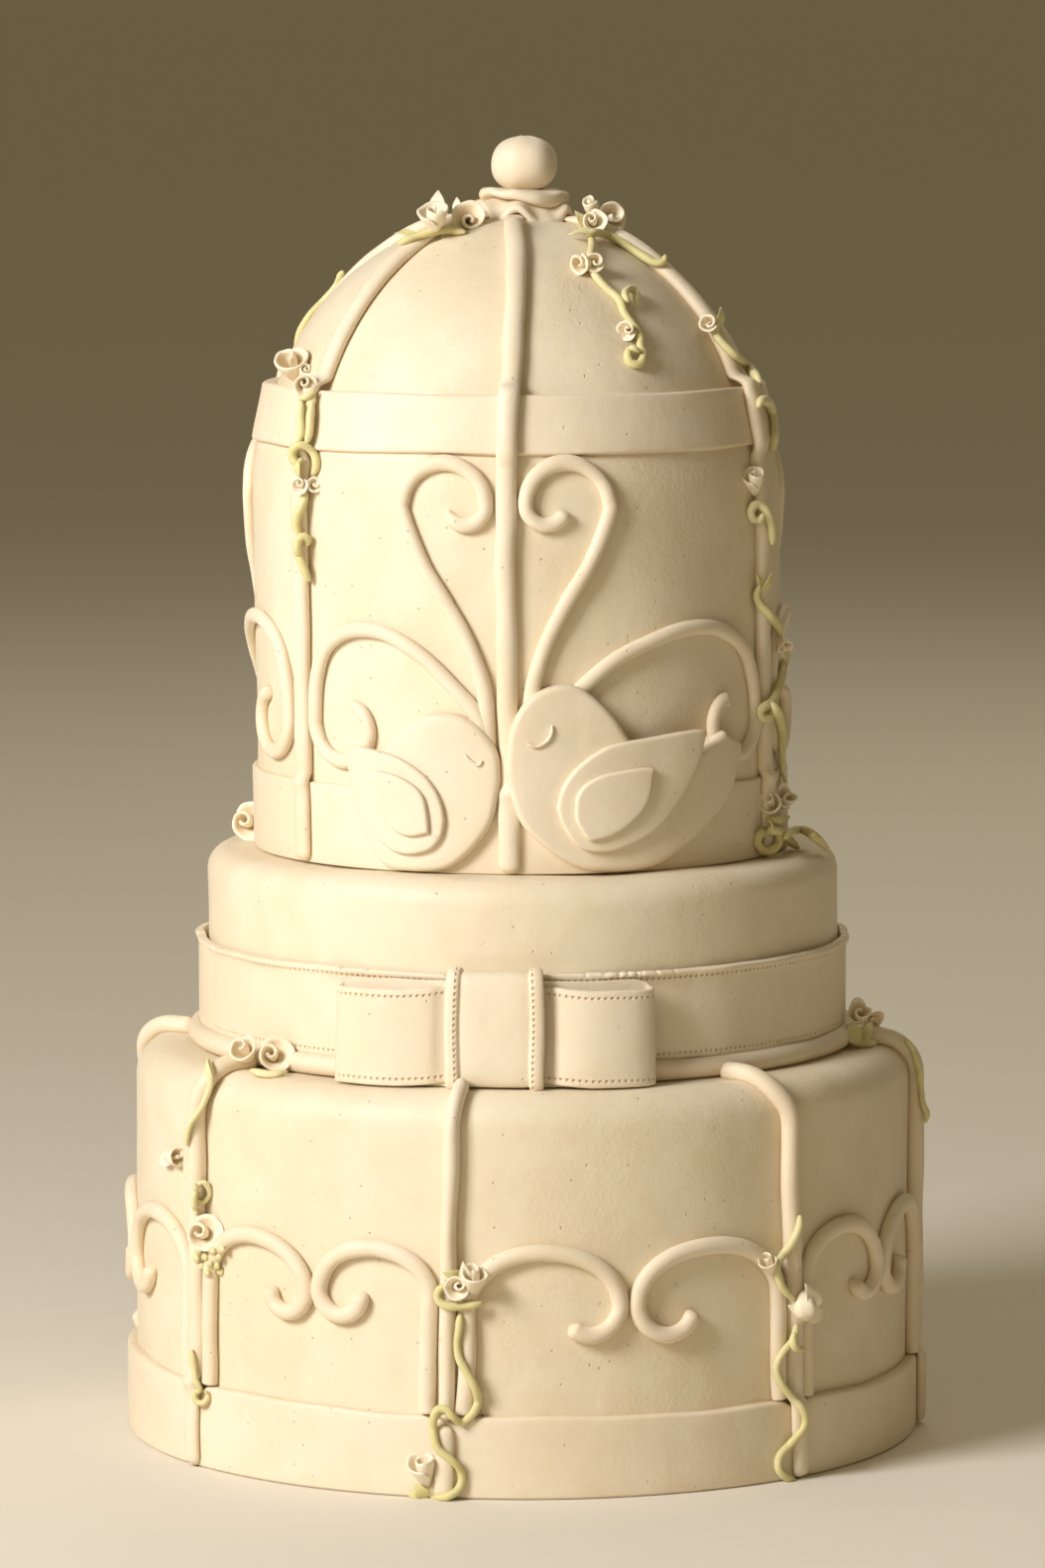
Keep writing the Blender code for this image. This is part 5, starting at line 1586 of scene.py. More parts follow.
@dataclass
class BottomWork:
    """The bottom tier's ribs and the pairs of scrolls between them. The slim rib has a stub below it."""

    end: float = 139.0
    slim_end: float = 149.5
    slim_foot: float = 32.0
    stub: Size = (1.0, 30.5, 7.7)

    def rib(self, letter: str) -> Skin:
        """A rib.

        Args:
            letter: Which rib.

        Returns:
            Its skin, from the ledge down to the floor. The slim one stops above the band, with a stub below.
        """
        seed = 200 + 7 * ord(letter)

        def rope(low: float, high: float, wide: float) -> Skin:
            """A rope up the rib's line.

            Args:
                low: The run of its foot.
                high: The run of its top.
                wide: Its width.

            Returns:
                Its skin.
            """
            runs = np.linspace(low, high, max(int((high - low) / 9), 3))
            route = [(rib_angle(letter, run), float(run)) for run in runs]
            return Rope(BOTTOM, route, wide, bottom_rib_height, bottom_base, seed).skin()

        if letter == "c":
            return rope(self.slim_foot, ledge(BOTTOM, self.slim_end), SLIM_RIB) + rope(*self.stub)
        return rope(0.6, ledge(BOTTOM, self.end), RIB_WIDTH)

    @staticmethod
    def scroll(reach: float, foot: float, sweep: float, curl: float, top: float = 100.0) -> list[Point]:
        """One rope of a pair, from the band beside a rib up, over and curling in.

        Args:
            reach: How far it reaches from the rib.
            foot: The height of its foot.
            sweep: How far its curl turns.
            curl: The curl's radius.
            top: The height of its top.

        Returns:
            Its (side, run) points.
        """
        near = RIB_WIDTH / 2 + SCROLL_WIDTH / 2 + 0.2
        half = (reach - near) / 2
        spring = top - 0.8 * half if half < 28 else top - 22.5
        points = [(near - 0.6, foot), (near, foot + 8), (near, (foot + spring) / 2)]
        for turn in np.radians(np.linspace(180, 0, 11)):
            points.append((near + half * (1 + math.cos(turn)), spring + (top - spring) * math.sin(turn)))
        return points + arc((reach - curl, spring), curl, 0, -sweep, 9, 0.72 * curl)[1:]

    def pair(self, key: str) -> Skin:
        """A panel's two ropes.

        Args:
            key: Which panel.

        Returns:
            Their skins as one.
        """
        left, right, sweeps, curls, share = PANELS[key]
        width = math.radians((rib_angle(right, 80.0) - rib_angle(left, 80.0)) % 360) * BOTTOM_RADIUS
        reaches = width * share - SCROLL_WIDTH / 2 + 0.3, width * (1 - share) - SCROLL_WIDTH / 2 + 0.3
        skins = []
        for letter, hand, reach, sweep, curl in zip((left, right), (1, -1), reaches, sweeps, curls):
            foot = band_rise(rib_angle(letter, 30) + hand * 3) + 0.3
            route = [(rib_angle(letter, run) + math.degrees(hand * side / BOTTOM_RADIUS), run)
                     for side, run in self.scroll(reach, foot, sweep, curl * reach)]
            seed = 300 + 11 * len(skins) + ord(left)
            rope = Rope(BOTTOM, route, SCROLL_WIDTH, SCROLL_HEIGHT, on_wall, seed, round_ends=(0.3, 0.8))
            skins.append(rope.skin())
        return joined(skins)

    def build(self, bench: Bench) -> list[Skin]:
        """Puts the ribs and scrolls on the bench.

        Args:
            bench: Where the pieces are made.

        Returns:
            Their skins.
        """
        skins = []
        for letter in BOTTOM_RIBS:
            skins.append(self.rib(letter))
            bench.trim("rib_bottom_" + letter, skins[-1])
        for key in PANELS:
            skins.append(self.pair(key))
            bench.trim("scrolls_" + key, skins[-1])
        return skins


@dataclass
class CageWork:
    """The birdcage's ribs, hearts and loops.

    The routes are (side, height) points from a rib's centre. A loop's sides are shares of its reach.
    """

    stem: Sequence[Point] = ((8.0, 289.0), (8.2, 302.0), (9.2, 318.0), (12.2, 330.0), (17.2, 342.0),
                             (25.0, 356.5), (33.6, 371.0))
    climb: Sequence[Point] = ((0.14, 309.0), (0.31, 327.0), (0.45, 336.5), (0.61, 342.5), (0.78, 342.0),
                              (0.92, 334.0), (0.985, 320.0))
    curl: float = 17.6

    def rib(self, key: str) -> Skin:
        """A rib.

        Args:
            key: Which rib.

        Returns:
            Its skin, from under the cap down to the ledge.
        """
        low, high = CAGE_BASE + 0.5, CAGE.runs[-1] - 14.0
        route = [(cage_rib_angle(key, run), float(run)) for run in np.linspace(low, high, 34)]
        seed = 400 + 13 * list(CAGE_RIBS).index(key)
        return Rope(CAGE, route, CAGE_RIB_WIDTH, cage_rib_height, cage_base, seed).skin()

    def heart(self) -> list[Point]:
        """A heart scroll: it climbs beside the rib, turns over and curls in."""
        turn = arc((25.0, 394.2), 17.2, -24, 196, 14)[1:]
        return [*self.stem, *turn, *arc((16.4, 394.6), 8.6, 192, 153, 8, 7.4)]

    def loop(self, reach: float) -> list[Point]:
        """A loop scroll: it leaves the rib, arches over and curls in."""
        climb = [(share * reach, height) for share, height in self.climb]
        return [(8.0, 292.0), *climb, *arc((reach - self.curl, 303.5), self.curl, 5, -267, 18, 8.6)]

    def side(self, key: str, hand: int) -> Skin:
        """A rib's heart and loop at one side.

        Args:
            key: Which rib.
            hand: -1 for its left and 1 for its right.

        Returns:
            Their skins as one.
        """
        centre, reach_left, reach_right = CAGE_MOTIFS[key]
        skins = []
        for curve in (self.heart(), self.loop(reach_left if hand < 0 else reach_right)):
            route = [(centre + math.degrees(hand * side / CAGE_RADIUS), CAGE.run_at(height))
                     for side, height in curve]
            ends = (0.8, 0.8) if hand > 0 else (0.8, 3.2)
            seed = 500 + 17 * len(skins) + hand
            skins.append(Rope(CAGE, route, CURL_WIDTH, CURL_HEIGHT, on_wall, seed, round_ends=ends).skin())
        return joined(skins)

    def build(self, bench: Bench) -> list[Skin]:
        """Puts the ribs and scrolls on the bench.

        Args:
            bench: Where the pieces are made.

        Returns:
            Their skins.
        """
        skins = []
        for key in CAGE_RIBS:
            skins.append(self.rib(key))
            bench.trim("rib_cage_" + key, skins[-1])
        for key in CAGE_MOTIFS:
            for word, hand in (("left", -1), ("right", 1)):
                skins.append(self.side(key, hand))
                bench.trim(f"cage_scroll_{key}_{word}", skins[-1])
        return skins


# Upper and lower edges of each plate and its middle as (side, height), side being the distance from the
# front rib's centre towards the tail
BIRDS = {
    "left": {
        "body": (
            [(3.2, 284), (3.6, 292.7), (5.2, 297.5), (8.8, 303), (13.3, 307.1), (19.3, 310.1), (24.6, 310.6),
             (32, 309.8), (39.2, 305.9), (45.4, 300.4), (51, 294.9), (60, 291), (66.4, 288.3)],
            [(3.2, 284), (4.6, 275.4), (6.8, 267.1), (11.4, 259.4), (18, 252.3), (24.7, 248), (32.9, 246.4),
             (40, 246.2), (47.2, 246.6), (53, 250), (58.2, 258.9), (62.4, 270.7), (65.6, 282.6), (66.4, 287)],
            (36, 276),
        ),
        "wing": (
            [(24.2, 267.7), (25.2, 273.9), (27.8, 280.1), (31.8, 285.5), (37.2, 289.7), (44.1, 293.2),
             (52.8, 295.2), (60.7, 295.7)],
            [(24.2, 267.7), (25.5, 261.5), (29.2, 256.5), (34.5, 254.2), (40, 253.6), (47, 255.5),
             (53.8, 262.3), (59, 275.3), (60.7, 289)],
            (44, 274),
        ),
        "inner_wing": (
            [(29.6, 263), (29.9, 268.5), (31, 275.4), (33, 279.5), (37.6, 283.4), (44.4, 286.2),
             (51.5, 286.8)],
            [(29.6, 262.4), (36.3, 261.3), (42, 262.5), (47, 267), (50.2, 275), (51.5, 282)],
            (40, 273),
        ),
    },
    "right": {
        "body": (
            [(-0.8, 290), (0.4, 302.2), (3.4, 310.8), (8.8, 317.9), (14.8, 321.1), (21.6, 322.5),
             (28.4, 321.3), (36.1, 315.3), (42.5, 307.9), (48.7, 299.1), (60, 292), (72, 292),
             (81.8, 295.3), (86, 297.1), (92.3, 300.6), (96.9, 298.1), (103, 295)],
            [(-0.8, 290), (-0.5, 284.3), (1.4, 275.7), (4.8, 266.4), (11.5, 258.5), (20.3, 251.9),
             (29.2, 247.7), (39, 246.6), (49.9, 246.8), (58.2, 248.1), (65.3, 251.3), (76.2, 257.7),
             (86.1, 264.9), (95, 273.6), (101.4, 285.3), (103, 293)],
            (48, 277),
        ),
        "wing": (
            [(18.2, 273.1), (19.2, 278.8), (21.8, 284.5), (26.5, 290.1), (33.9, 295.6), (41.5, 298.6),
             (59.6, 301), (70.5, 302.1), (78.9, 301.9)],
            [(18.2, 273.1), (18.9, 269.5), (20.5, 265.1), (24.5, 258.6), (29.2, 255.6), (36.7, 255),
             (42.2, 256.2), (50.8, 259.7), (59.6, 265.7), (69, 276.6), (75.5, 287.7), (78.9, 297)],
            (46, 280),
        ),
        "inner_wing": (
            [(24.4, 271.8), (25, 277.5), (28, 282.5), (34.6, 286.2), (44.1, 288), (54.6, 288.5)],
            [(24.4, 271.8), (24.7, 268.2), (26.7, 263.9), (29.3, 260.2), (33.3, 260.4), (38.6, 262),
             (44.1, 265.4), (49.7, 270.8), (53.2, 277.1), (54.6, 285)],
            (36, 275),
        ),
    },
}
# Each closed eye as (side, height), side being the distance to the right of the front rib's centre
BIRD_EYES = {
    "left": [(-16.5, 294.7), (-14.9, 292.6), (-12.6, 290.9), (-11.0, 290.6), (-9.7, 292.4)],
    "right": [(7.1, 299.4), (10.8, 298.1), (14.8, 300.4), (16.5, 303.6), (16.7, 306.8)],
}
# Each plate's underside and face as lifts off the cage, and the radius of its edge
PLATE_LIFTS = {"body": (0.2, 7.4, 2.6), "wing": (7.3, 10.4, 1.3), "inner_wing": (10.2, 12.8, 1.2)}


@dataclass
class Lovebirds:
    """The two birds, each a body, a wing on it and a small wing on that, with a closed eye."""

    centre: float = -2.2
    over_rib: float = 1.9

    def build(self, bench: Bench) -> None:
        """Puts the birds on the bench.

        Args:
            bench: Where the pieces are made.
        """
        for word, hand in (("left", -1), ("right", 1)):
            rise = self.over_rib if word == "right" else 0.0
            for part, (upper, lower, middle) in BIRDS[word].items():
                low, crest, edge = PLATE_LIFTS[part]

                def over(side: Array, rise: float = rise) -> Array:
                    """How far the body rises over the rib that it overlaps."""
                    return rise * np.clip(1 - np.maximum(side, 0.0) / 26.0, 0.0, 1.0)

                name = f"bird_{word}_{part}"
                skin = Plate(CAGE, self.centre, hand, upper, lower, low, crest, edge, middle,
                             over=over if part == "body" else None, seed=len(name)).skin()
                bench.put(name, skin, Slot.TRIM, name)
                if part == "body":
                    route = [CAGE.off(self.centre, CAGE.run_at(z), side, 0.0) for side, z in BIRD_EYES[word]]
                    eye = Vine(Ground(CAGE, [skin]), route, 0.75, 3, tips=(2.0, 2.0), step=0.5)
                    bench.put(f"bird_{word}_eye", eye.skin(), Slot.TRIM, name)


@dataclass
class Cap:
    """The birdcage's cap: two ruffled discs and a ball."""

    x: float = 0.4
    tilt: float = 0.04
    count: int = 144
    ball_size: Size = (13.7, 13.7, 11.68)
    ball_at: Size = (0.8, 0.0, 528.5)
    # Dents of the ball: the way to each, its reach and its depth as shares of the radius
    dents: Sequence[tuple[Size, float, float]] = (
        ((0.76, -0.65, -0.03), 0.045, 0.045), ((0.70, -0.71, -0.08), 0.04, 0.035),
        ((0.02, -0.98, -0.02), 0.16, 0.010), ((-0.1, -0.9, 0.42), 0.2, 0.012))

    def _crest(self, angle: float) -> float:
        """How far a ruffle rises at an angle: it crests over each rib and dips between them.

        Args:
            angle: The angle in degrees.

        Returns:
            The rise, from 0 between the ribs to 1 over one.
        """
        crest = 0.0
        for _, crown in CAGE_RIBS.values():
            away = abs((angle - crown + 8 * math.cos(math.radians(crown)) + 180) % 360 - 180)
            crest = max(crest, 0.5 + 0.5 * math.cos(math.pi * min(away / 27.0, 1.0)))
        return crest

    def ruffle(self, radius: float, base: float, wave: float, swing: float, thick: float, thin: float,
               seed: int) -> Skin:
        """A soft disc with a wavy rim.

        Args:
            radius: Its radius.
            base: The height of its underside.
            wave: How far its rim rises and falls over the ribs.
            swing: How far it rises and falls twice round.
            thick: How thick it is.
            thin: The share of its thickness that it loses over the ribs.
            seed: What its unevenness is drawn from.

        Returns:
            Its skin.
        """
        profile = ((0.25, 0.0), (0.7, 0.0), (0.9, -0.02), (0.97, 0.1), (1.0, 0.32), (1.0, 0.62),
                   (0.975, 0.86), (0.93, 0.98), (0.85, 1.02), (0.7, 1.0), (0.45, 1.0), (0.2, 1.0))
        angles = np.arange(self.count) * 360 / self.count
        crest = np.array([self._crest(angle) for angle in angles])
        bumps = Dimple(seed, 0.25)(angles, 0.0)
        rows = []
        for share, up in profile:
            rim = ease(share, 0.5, 0.95)
            turn = np.radians(angles)
            reach = radius * share * (1 + 0.015 * np.sin(3 * turn + seed)) + bumps * rim
            sway = 0.5 * bumps - swing * np.sin(2 * turn) * (1.3 - up)
            height = base + wave * (1 + (crest - 1) * rim) + sway * rim
            height = height + thick * up * (1 - thin * crest * rim)
            side = reach * np.sin(turn)
            rows.append(np.stack([self.x + side, -reach * np.cos(turn), height - self.tilt * side], -1))
        # Painted shade on the ruffle's underside and on its top towards the middle, where the next piece
        # sits.
        painted_shades = np.array([0.9, 0.8, 0.5, 0.2] + [0.0] * 5 + [0.2, 0.7, 0.9])
        return Skin.grid(np.array(rows), np.repeat(painted_shades[:, None], self.count, axis=1))

    def ball(self) -> Skin:
        """The ball on top, a little dented.

        Returns:
            Its skin.
        """
        ups = np.radians(np.linspace(-84, 84, 40))[:, None]
        turns = np.radians(np.arange(64) * 360 / 64)[None, :]
        way = globe(turns - math.pi / 2, ups)
        size = 1 + 0.010 * np.sin(3 * turns + 2 * ups) + 0.008 * np.sin(5 * turns - 4 * ups + 1)
        for dent, reach, deep in self.dents:
            away = np.linalg.norm(way - np.array(dent), axis=-1)
            size = size - deep * np.exp(-((away / reach) ** 2))
        points = np.sign(way) * np.abs(way) ** 0.9 * size[..., None] * np.array(self.ball_size)
        points += np.array(self.ball_at)
        # Painted shade on the ball's underside.
        return Skin.grid(points, np.broadcast_to(ease(-np.sin(ups), 0.7, 1.0), size.shape).copy())

    def build(self, bench: Bench) -> Skin:
        """Puts the cap on the bench.

        Args:
            bench: Where the pieces are made.

        Returns:
            The lower ruffle's skin.
        """
        lower = self.ruffle(radius=21.6, base=501.2, wave=7.8, swing=0.2, thick=6.0, thin=0.36, seed=1)
        bench.trim("cap_ruffle_lower", lower)
        upper = self.ruffle(radius=18.6, base=512.9, wave=0.7, swing=1.3, thick=4.7, thin=0.0, seed=2)
        bench.trim("cap_ruffle_upper", upper)
        bench.trim("cap_ball", self.ball())
        return lower


# Roses, leaves and vines


class Kind(Enum):
    """How a bloom is made."""

    OPEN = "a strip rolled into a spiral, its outer turn spread wide"
    CONE = "a tall cone with a flaring mouth and a pointed lip"
    CUP = "a short cup with a thick wall"
    STAR = "a cup whose rim ends in three points"
    BUD = "a closed roll"


@dataclass(frozen=True)
class Roll:
    """How a bloom's strip is rolled. Radii and sizes are shares of the mouth's radius."""

    turns: float
    core: float
    body: float
    foot: float
    outer: float
    points: int
    size: float
    thick: float = 0.17
    aside: float = 0.0
    spread: float = 1.0


ROLLS = {
    Kind.OPEN: Roll(1.85, 0.13, 0.42, 0.34, 1.05, 1, 0.08, thick=0.20, aside=0.20),
    Kind.CONE: Roll(1.6, 0.16, 0.60, 0.20, 1.05, 1, 0.14, thick=0.20, aside=0.12),
    Kind.CUP: Roll(1.4, 0.24, 0.80, 0.64, 0.90, 1, 0.04, thick=0.30),
    Kind.STAR: Roll(1.7, 0.10, 0.46, 0.28, 1.10, 3, 0.34, thick=0.20, aside=0.10),
    Kind.BUD: Roll(1.7, 0.10, 0.80, 0.55, 0.60, 1, 0.10, thick=0.26, spread=0.5),
}


def petal(length: float, width: float, thick: float, cup: float, arch: float) -> Array:
    """A pointed petal or leaf, rooted at the origin and pointing along its first axis.

    Args:
        length: Its length.
        width: Its width.
        thick: Its thickness.
        cup: How far its edges stand up, as a share of its width.
        arch: How far its middle stands up, as a share of its length.

    Returns:
        Its points as (rows, columns, 3).
    """
    share = np.linspace(0.0, 1.0, 16)[:, None]
    turn = np.arange(14)[None, :] * 2 * math.pi / 14
    swell = 0.25 * (1 - share) + np.sin(math.pi * share**0.8) ** 0.7
    half = width / 2 * swell * (1 - 0.4 * share**3) + 0.15
    across = half * np.cos(turn)
    body = thick / 2 * (1 - 0.45 * share) * np.sin(turn)
    along = length * share + 0 * turn
    up = cup * width * (across / max(width, 0.1)) ** 2 * 4 + arch * length * np.sin(math.pi * share) + body
    return np.stack([along, across, up], -1)


def rolled(radius: float, height: float, kind: Kind, seed: int) -> Skin:
    """A strip of icing rolled into a bloom that stands on the origin, its loose end to the right.

    Args:
        radius: Its mouth's radius.
        height: Its height.
        kind: How it is rolled.
        seed: What its unevenness is drawn from.

    Returns:
        Its skin.
    """
    roll = ROLLS[kind]
    phases = np.random.default_rng(seed).uniform(0, 2 * math.pi, 3)
    share = np.linspace(0.0, 1.0, int(34 * roll.turns))[:, None]
    turn = 2 * math.pi * roll.turns * (share - 1)
    thick = float(np.clip(roll.thick * radius, 0.85, 1.5))
    wound = 1 - roll.outer / roll.turns
    inner = radius * (roll.core + (roll.body - roll.core) * np.minimum(share / wound, 1.0))
    open_up = roll.spread * ease(share, wound, wound + 0.5 * roll.outer / roll.turns)
    peak = np.abs(np.cos(roll.points / 2 * (turn + math.pi * roll.outer))) ** 1.5
    soft = 0.04 * np.sin(2 * turn + phases[0]) + 0.025 * np.sin(5 * turn + phases[1])
    mouth = radius * (1 - roll.size + roll.size * peak + soft) * (1 - 0.12 * ease(share, 0.95, 1.0))
    top = height * (1 - 0.12 * open_up + roll.size * (peak - 0.5) * open_up + 0.6 * soft)
    top = top * (1 - 0.30 * ease(share, 0.95, 1.0))
    out = [(up, 0.5) for up in (0.0, 0.15, 0.3, 0.45, 0.6, 0.72, 0.83, 0.92)]
    back = [(up - 0.01, -0.5) for up, _ in reversed(out[1:])]
    levels = out + [(0.975, 0.36), (1.0, 0.0), (0.97, -0.36)] + back
    columns, painted_shades = [], []
    for up, side in levels:
        body = inner * (roll.foot + (1 - roll.foot) * min(up / 0.7, 1.0) ** 0.7)
        away = np.maximum(body + open_up * np.maximum(mouth - inner, 0.0) * up**1.7 + thick * side, 0.05)
        aside = roll.aside * radius * (1 - open_up / roll.spread) * up
        rise = top * (up - 0.06 * open_up * up**6)
        across = away * np.cos(turn) + aside, away * np.sin(turn) + aside * 0.6
        columns.append(np.concatenate([*across, rise], axis=1))
        # Painted shade deep inside the bloom on the strip's inner face, and lightly low on its outer face.
        deep = 0.9 - 1.05 * up if side < 0 else 0.25 * (1 - up)
        painted_shades.append(np.full(len(share), float(np.clip(deep, 0.0, 1.0))))
    return Skin.grid(np.stack(columns, axis=1), np.stack(painted_shades, axis=1))


def ellipsoid(size: Size, seed: int, rough: float = 0.06) -> Skin:
    """A lump of icing about the origin.

    Args:
        size: Its half sizes.
        seed: What its unevenness is drawn from.
        rough: How uneven it is.

    Returns:
        Its skin.
    """
    draw = np.random.default_rng(seed)
    ups = np.radians(np.linspace(-80, 80, 12))[:, None]
    turns = (np.arange(16) * math.pi / 8)[None, :]
    round_it = np.sin(3 * turns + draw.uniform(0, 6)) * np.cos(2 * ups)
    swell = 1 + rough * round_it + rough * np.sin(4 * ups + draw.uniform(0, 6))
    return Skin.grid(globe(turns, ups) * swell[..., None] * np.array(size), np.zeros(swell.shape))


def stood(shape: Skin, foot: Array, axis: Array, spin: float = 0.0) -> Skin:
    """Stands a shape on a point.

    Args:
        shape: The shape, standing on the origin.
        foot: The point.
        axis: The direction that its own up turns to.
        spin: How far it is turned about its own up, in degrees.

    Returns:
        The placed skin.
    """
    axis = unit(axis)
    across = unit(np.cross((0.0, 0.001, 1.0), axis))
    up = np.cross(axis, across)
    turn = math.radians(spin)
    x, y, z = shape.points.T
    x, y = x * math.cos(turn) - y * math.sin(turn), x * math.sin(turn) + y * math.cos(turn)
    points = foot + np.outer(x, across) + np.outer(y, up) + np.outer(z, axis)
    return Skin(points, shape.faces, shape.painted_shade)


@dataclass(frozen=True)
class Bloom:
    """A rose, cone or bud: where its mouth is, its size, how it leans, and where its loose end is.

    Where the photograph shows it, it leans to the right and up as it is seen there. Elsewhere it leans
    from straight off the tier.
    """

    spot: Spot
    radius: float
    height: float
    lean: Point = (0.0, 0.0)
    kind: Kind = Kind.OPEN
    spin: float = 0.0
    sink: float = 0.8

    def skin(self, ground: Ground) -> Skin:
        """The bloom on what lies under it.

        Args:
            ground: What it rests on.

        Returns:
            Its skin.
        """
        shape = rolled(self.radius, self.height, self.kind, int(10 * self.radius + abs(self.spin)))
        if isinstance(self.spot, Seen):
            axis = unit(np.array([self.lean[0], -1.0, self.lean[1]]))
            reach = SIGHT.meet(self.spot, lambda at: min(
                ground.clear(at - axis * self.height) + self.sink, ground.clear(at) - 0.45 * self.radius))
            return stood(shape, SIGHT.at(self.spot, reach) - axis * self.height, axis, self.spin)
        angle, run = self.spot
        foot = ground.surface.point(angle, run, ground.top(angle, run) - self.sink)
        out = ground.outward(foot)
        side = -unit(np.cross((0.0, 0.0, 1.0), out))
        axis = out - self.lean[0] * side + self.lean[1] * np.cross(out, -side)
        return stood(shape, foot, axis, self.spin)


@dataclass(frozen=True)
class Leaf:
    """A pointed leaf or petal: its root's and tip's pixels, its width, and how far its tip stands off."""

    root: Point
    tip: Point
    width: float
    rise: float = 1.0
    arch: float = 0.12

    def skin(self, ground: Ground) -> Skin:
        """The leaf on what lies under it.

        Args:
            ground: What it rests on.

        Returns:
            Its skin.
        """
        seen_root, seen_tip = Seen(*self.root), Seen(*self.tip)
        near = SIGHT.meet(seen_root, lambda at: ground.clear(at) - 0.4)
        far = SIGHT.meet(seen_tip, lambda at: ground.clear(at) - self.rise)
        apart = math.dist(self.root, self.tip) / PIXELS
        root = SIGHT.at(seen_root, near)
        along = SIGHT.at(seen_tip, float(np.clip(far, near - apart, near + apart))) - root
        length = float(np.linalg.norm(along))
        along = along / length
        across = unit(np.cross(ground.outward(root), along))
        blade = petal(length, self.width, 1.3, 0.12, self.arch)
        points = root + blade @ np.array([along, across, np.cross(along, across)])
        return Skin.grid(points, np.zeros(points.shape[:2]))


@dataclass(frozen=True)
class Lump:
    """A small lump of icing pressed on: its pixel and its half sizes."""

    spot: Point
    size: Size
    seed: int = 0

    def skin(self, ground: Ground) -> Skin:
        """The lump on what lies under it.

        Args:
            ground: What it rests on.

        Returns:
            Its skin.
        """
        spot = Seen(*self.spot)
        centre = SIGHT.at(spot, SIGHT.meet(spot, lambda at: ground.clear(at) - 0.5 * self.size[2]))
        return stood(ellipsoid(self.size, self.seed), centre, ground.outward(centre))


@dataclass
class Sprig:
    """The vines, roses, leaves and lumps of one rib or cluster."""

    name: str
    node: str
    vines: Sequence[Sequence[Spot]] = ()
    blooms: Sequence[Bloom] = ()
    leaves: Sequence[Leaf] = ()
    lumps: Sequence[Lump] = ()
    petals: Sequence[Leaf | Lump] = ()
    radius: float = VINE_RADIUS

    def build(self, bench: Bench, ground: Ground) -> None:
        """Puts the sprig on the bench.

        Args:
            bench: Where the pieces are made.
            ground: What it rests on.
        """
        green = []
        for i, route in enumerate(self.vines):
            green.append(Vine(ground, route, self.radius, seed=len(self.name) + i).skin())
            ground.lay(green[-1])
        green += [one.skin(ground) for one in (*self.leaves, *self.lumps)]
        rosy = [one.skin(ground) for one in (*self.blooms, *self.petals)]
        for word, skins, slot in (("vine", green, Slot.VINE), ("rose", rosy, Slot.ROSE)):
            if skins:
                whole = joined(skins)
                whole.points[:, 2] = np.maximum(whole.points[:, 2], FLOOR_GAP)
                bench.put(f"{self.name}_{word}", whole, slot, self.node, sharp=80.0)


def by_rib(key: str, *points: Point) -> list[Point]:
    """Points given as (side, run) from a rib's centre, as (angle, run)."""
    surface, centre = (BOTTOM, rib_angle) if key in BOTTOM_RIBS else (CAGE, cage_rib_angle)
    return [surface.off(centre(key, run), run, side, 0.0) for side, run in points]


def seen(*points: Point) -> list[Seen]:
    """Pixels of the photograph as spots."""
    return [Seen(x, y) for x, y in points]


def ring(x: float, y: float, radius: float, start: float, sweep: float) -> list[Seen]:
    """A vine's ring as the photograph shows it."""
    return [Seen(across, 2 * y - down) for across, down in arc((x, y), radius, start, sweep, 10)]


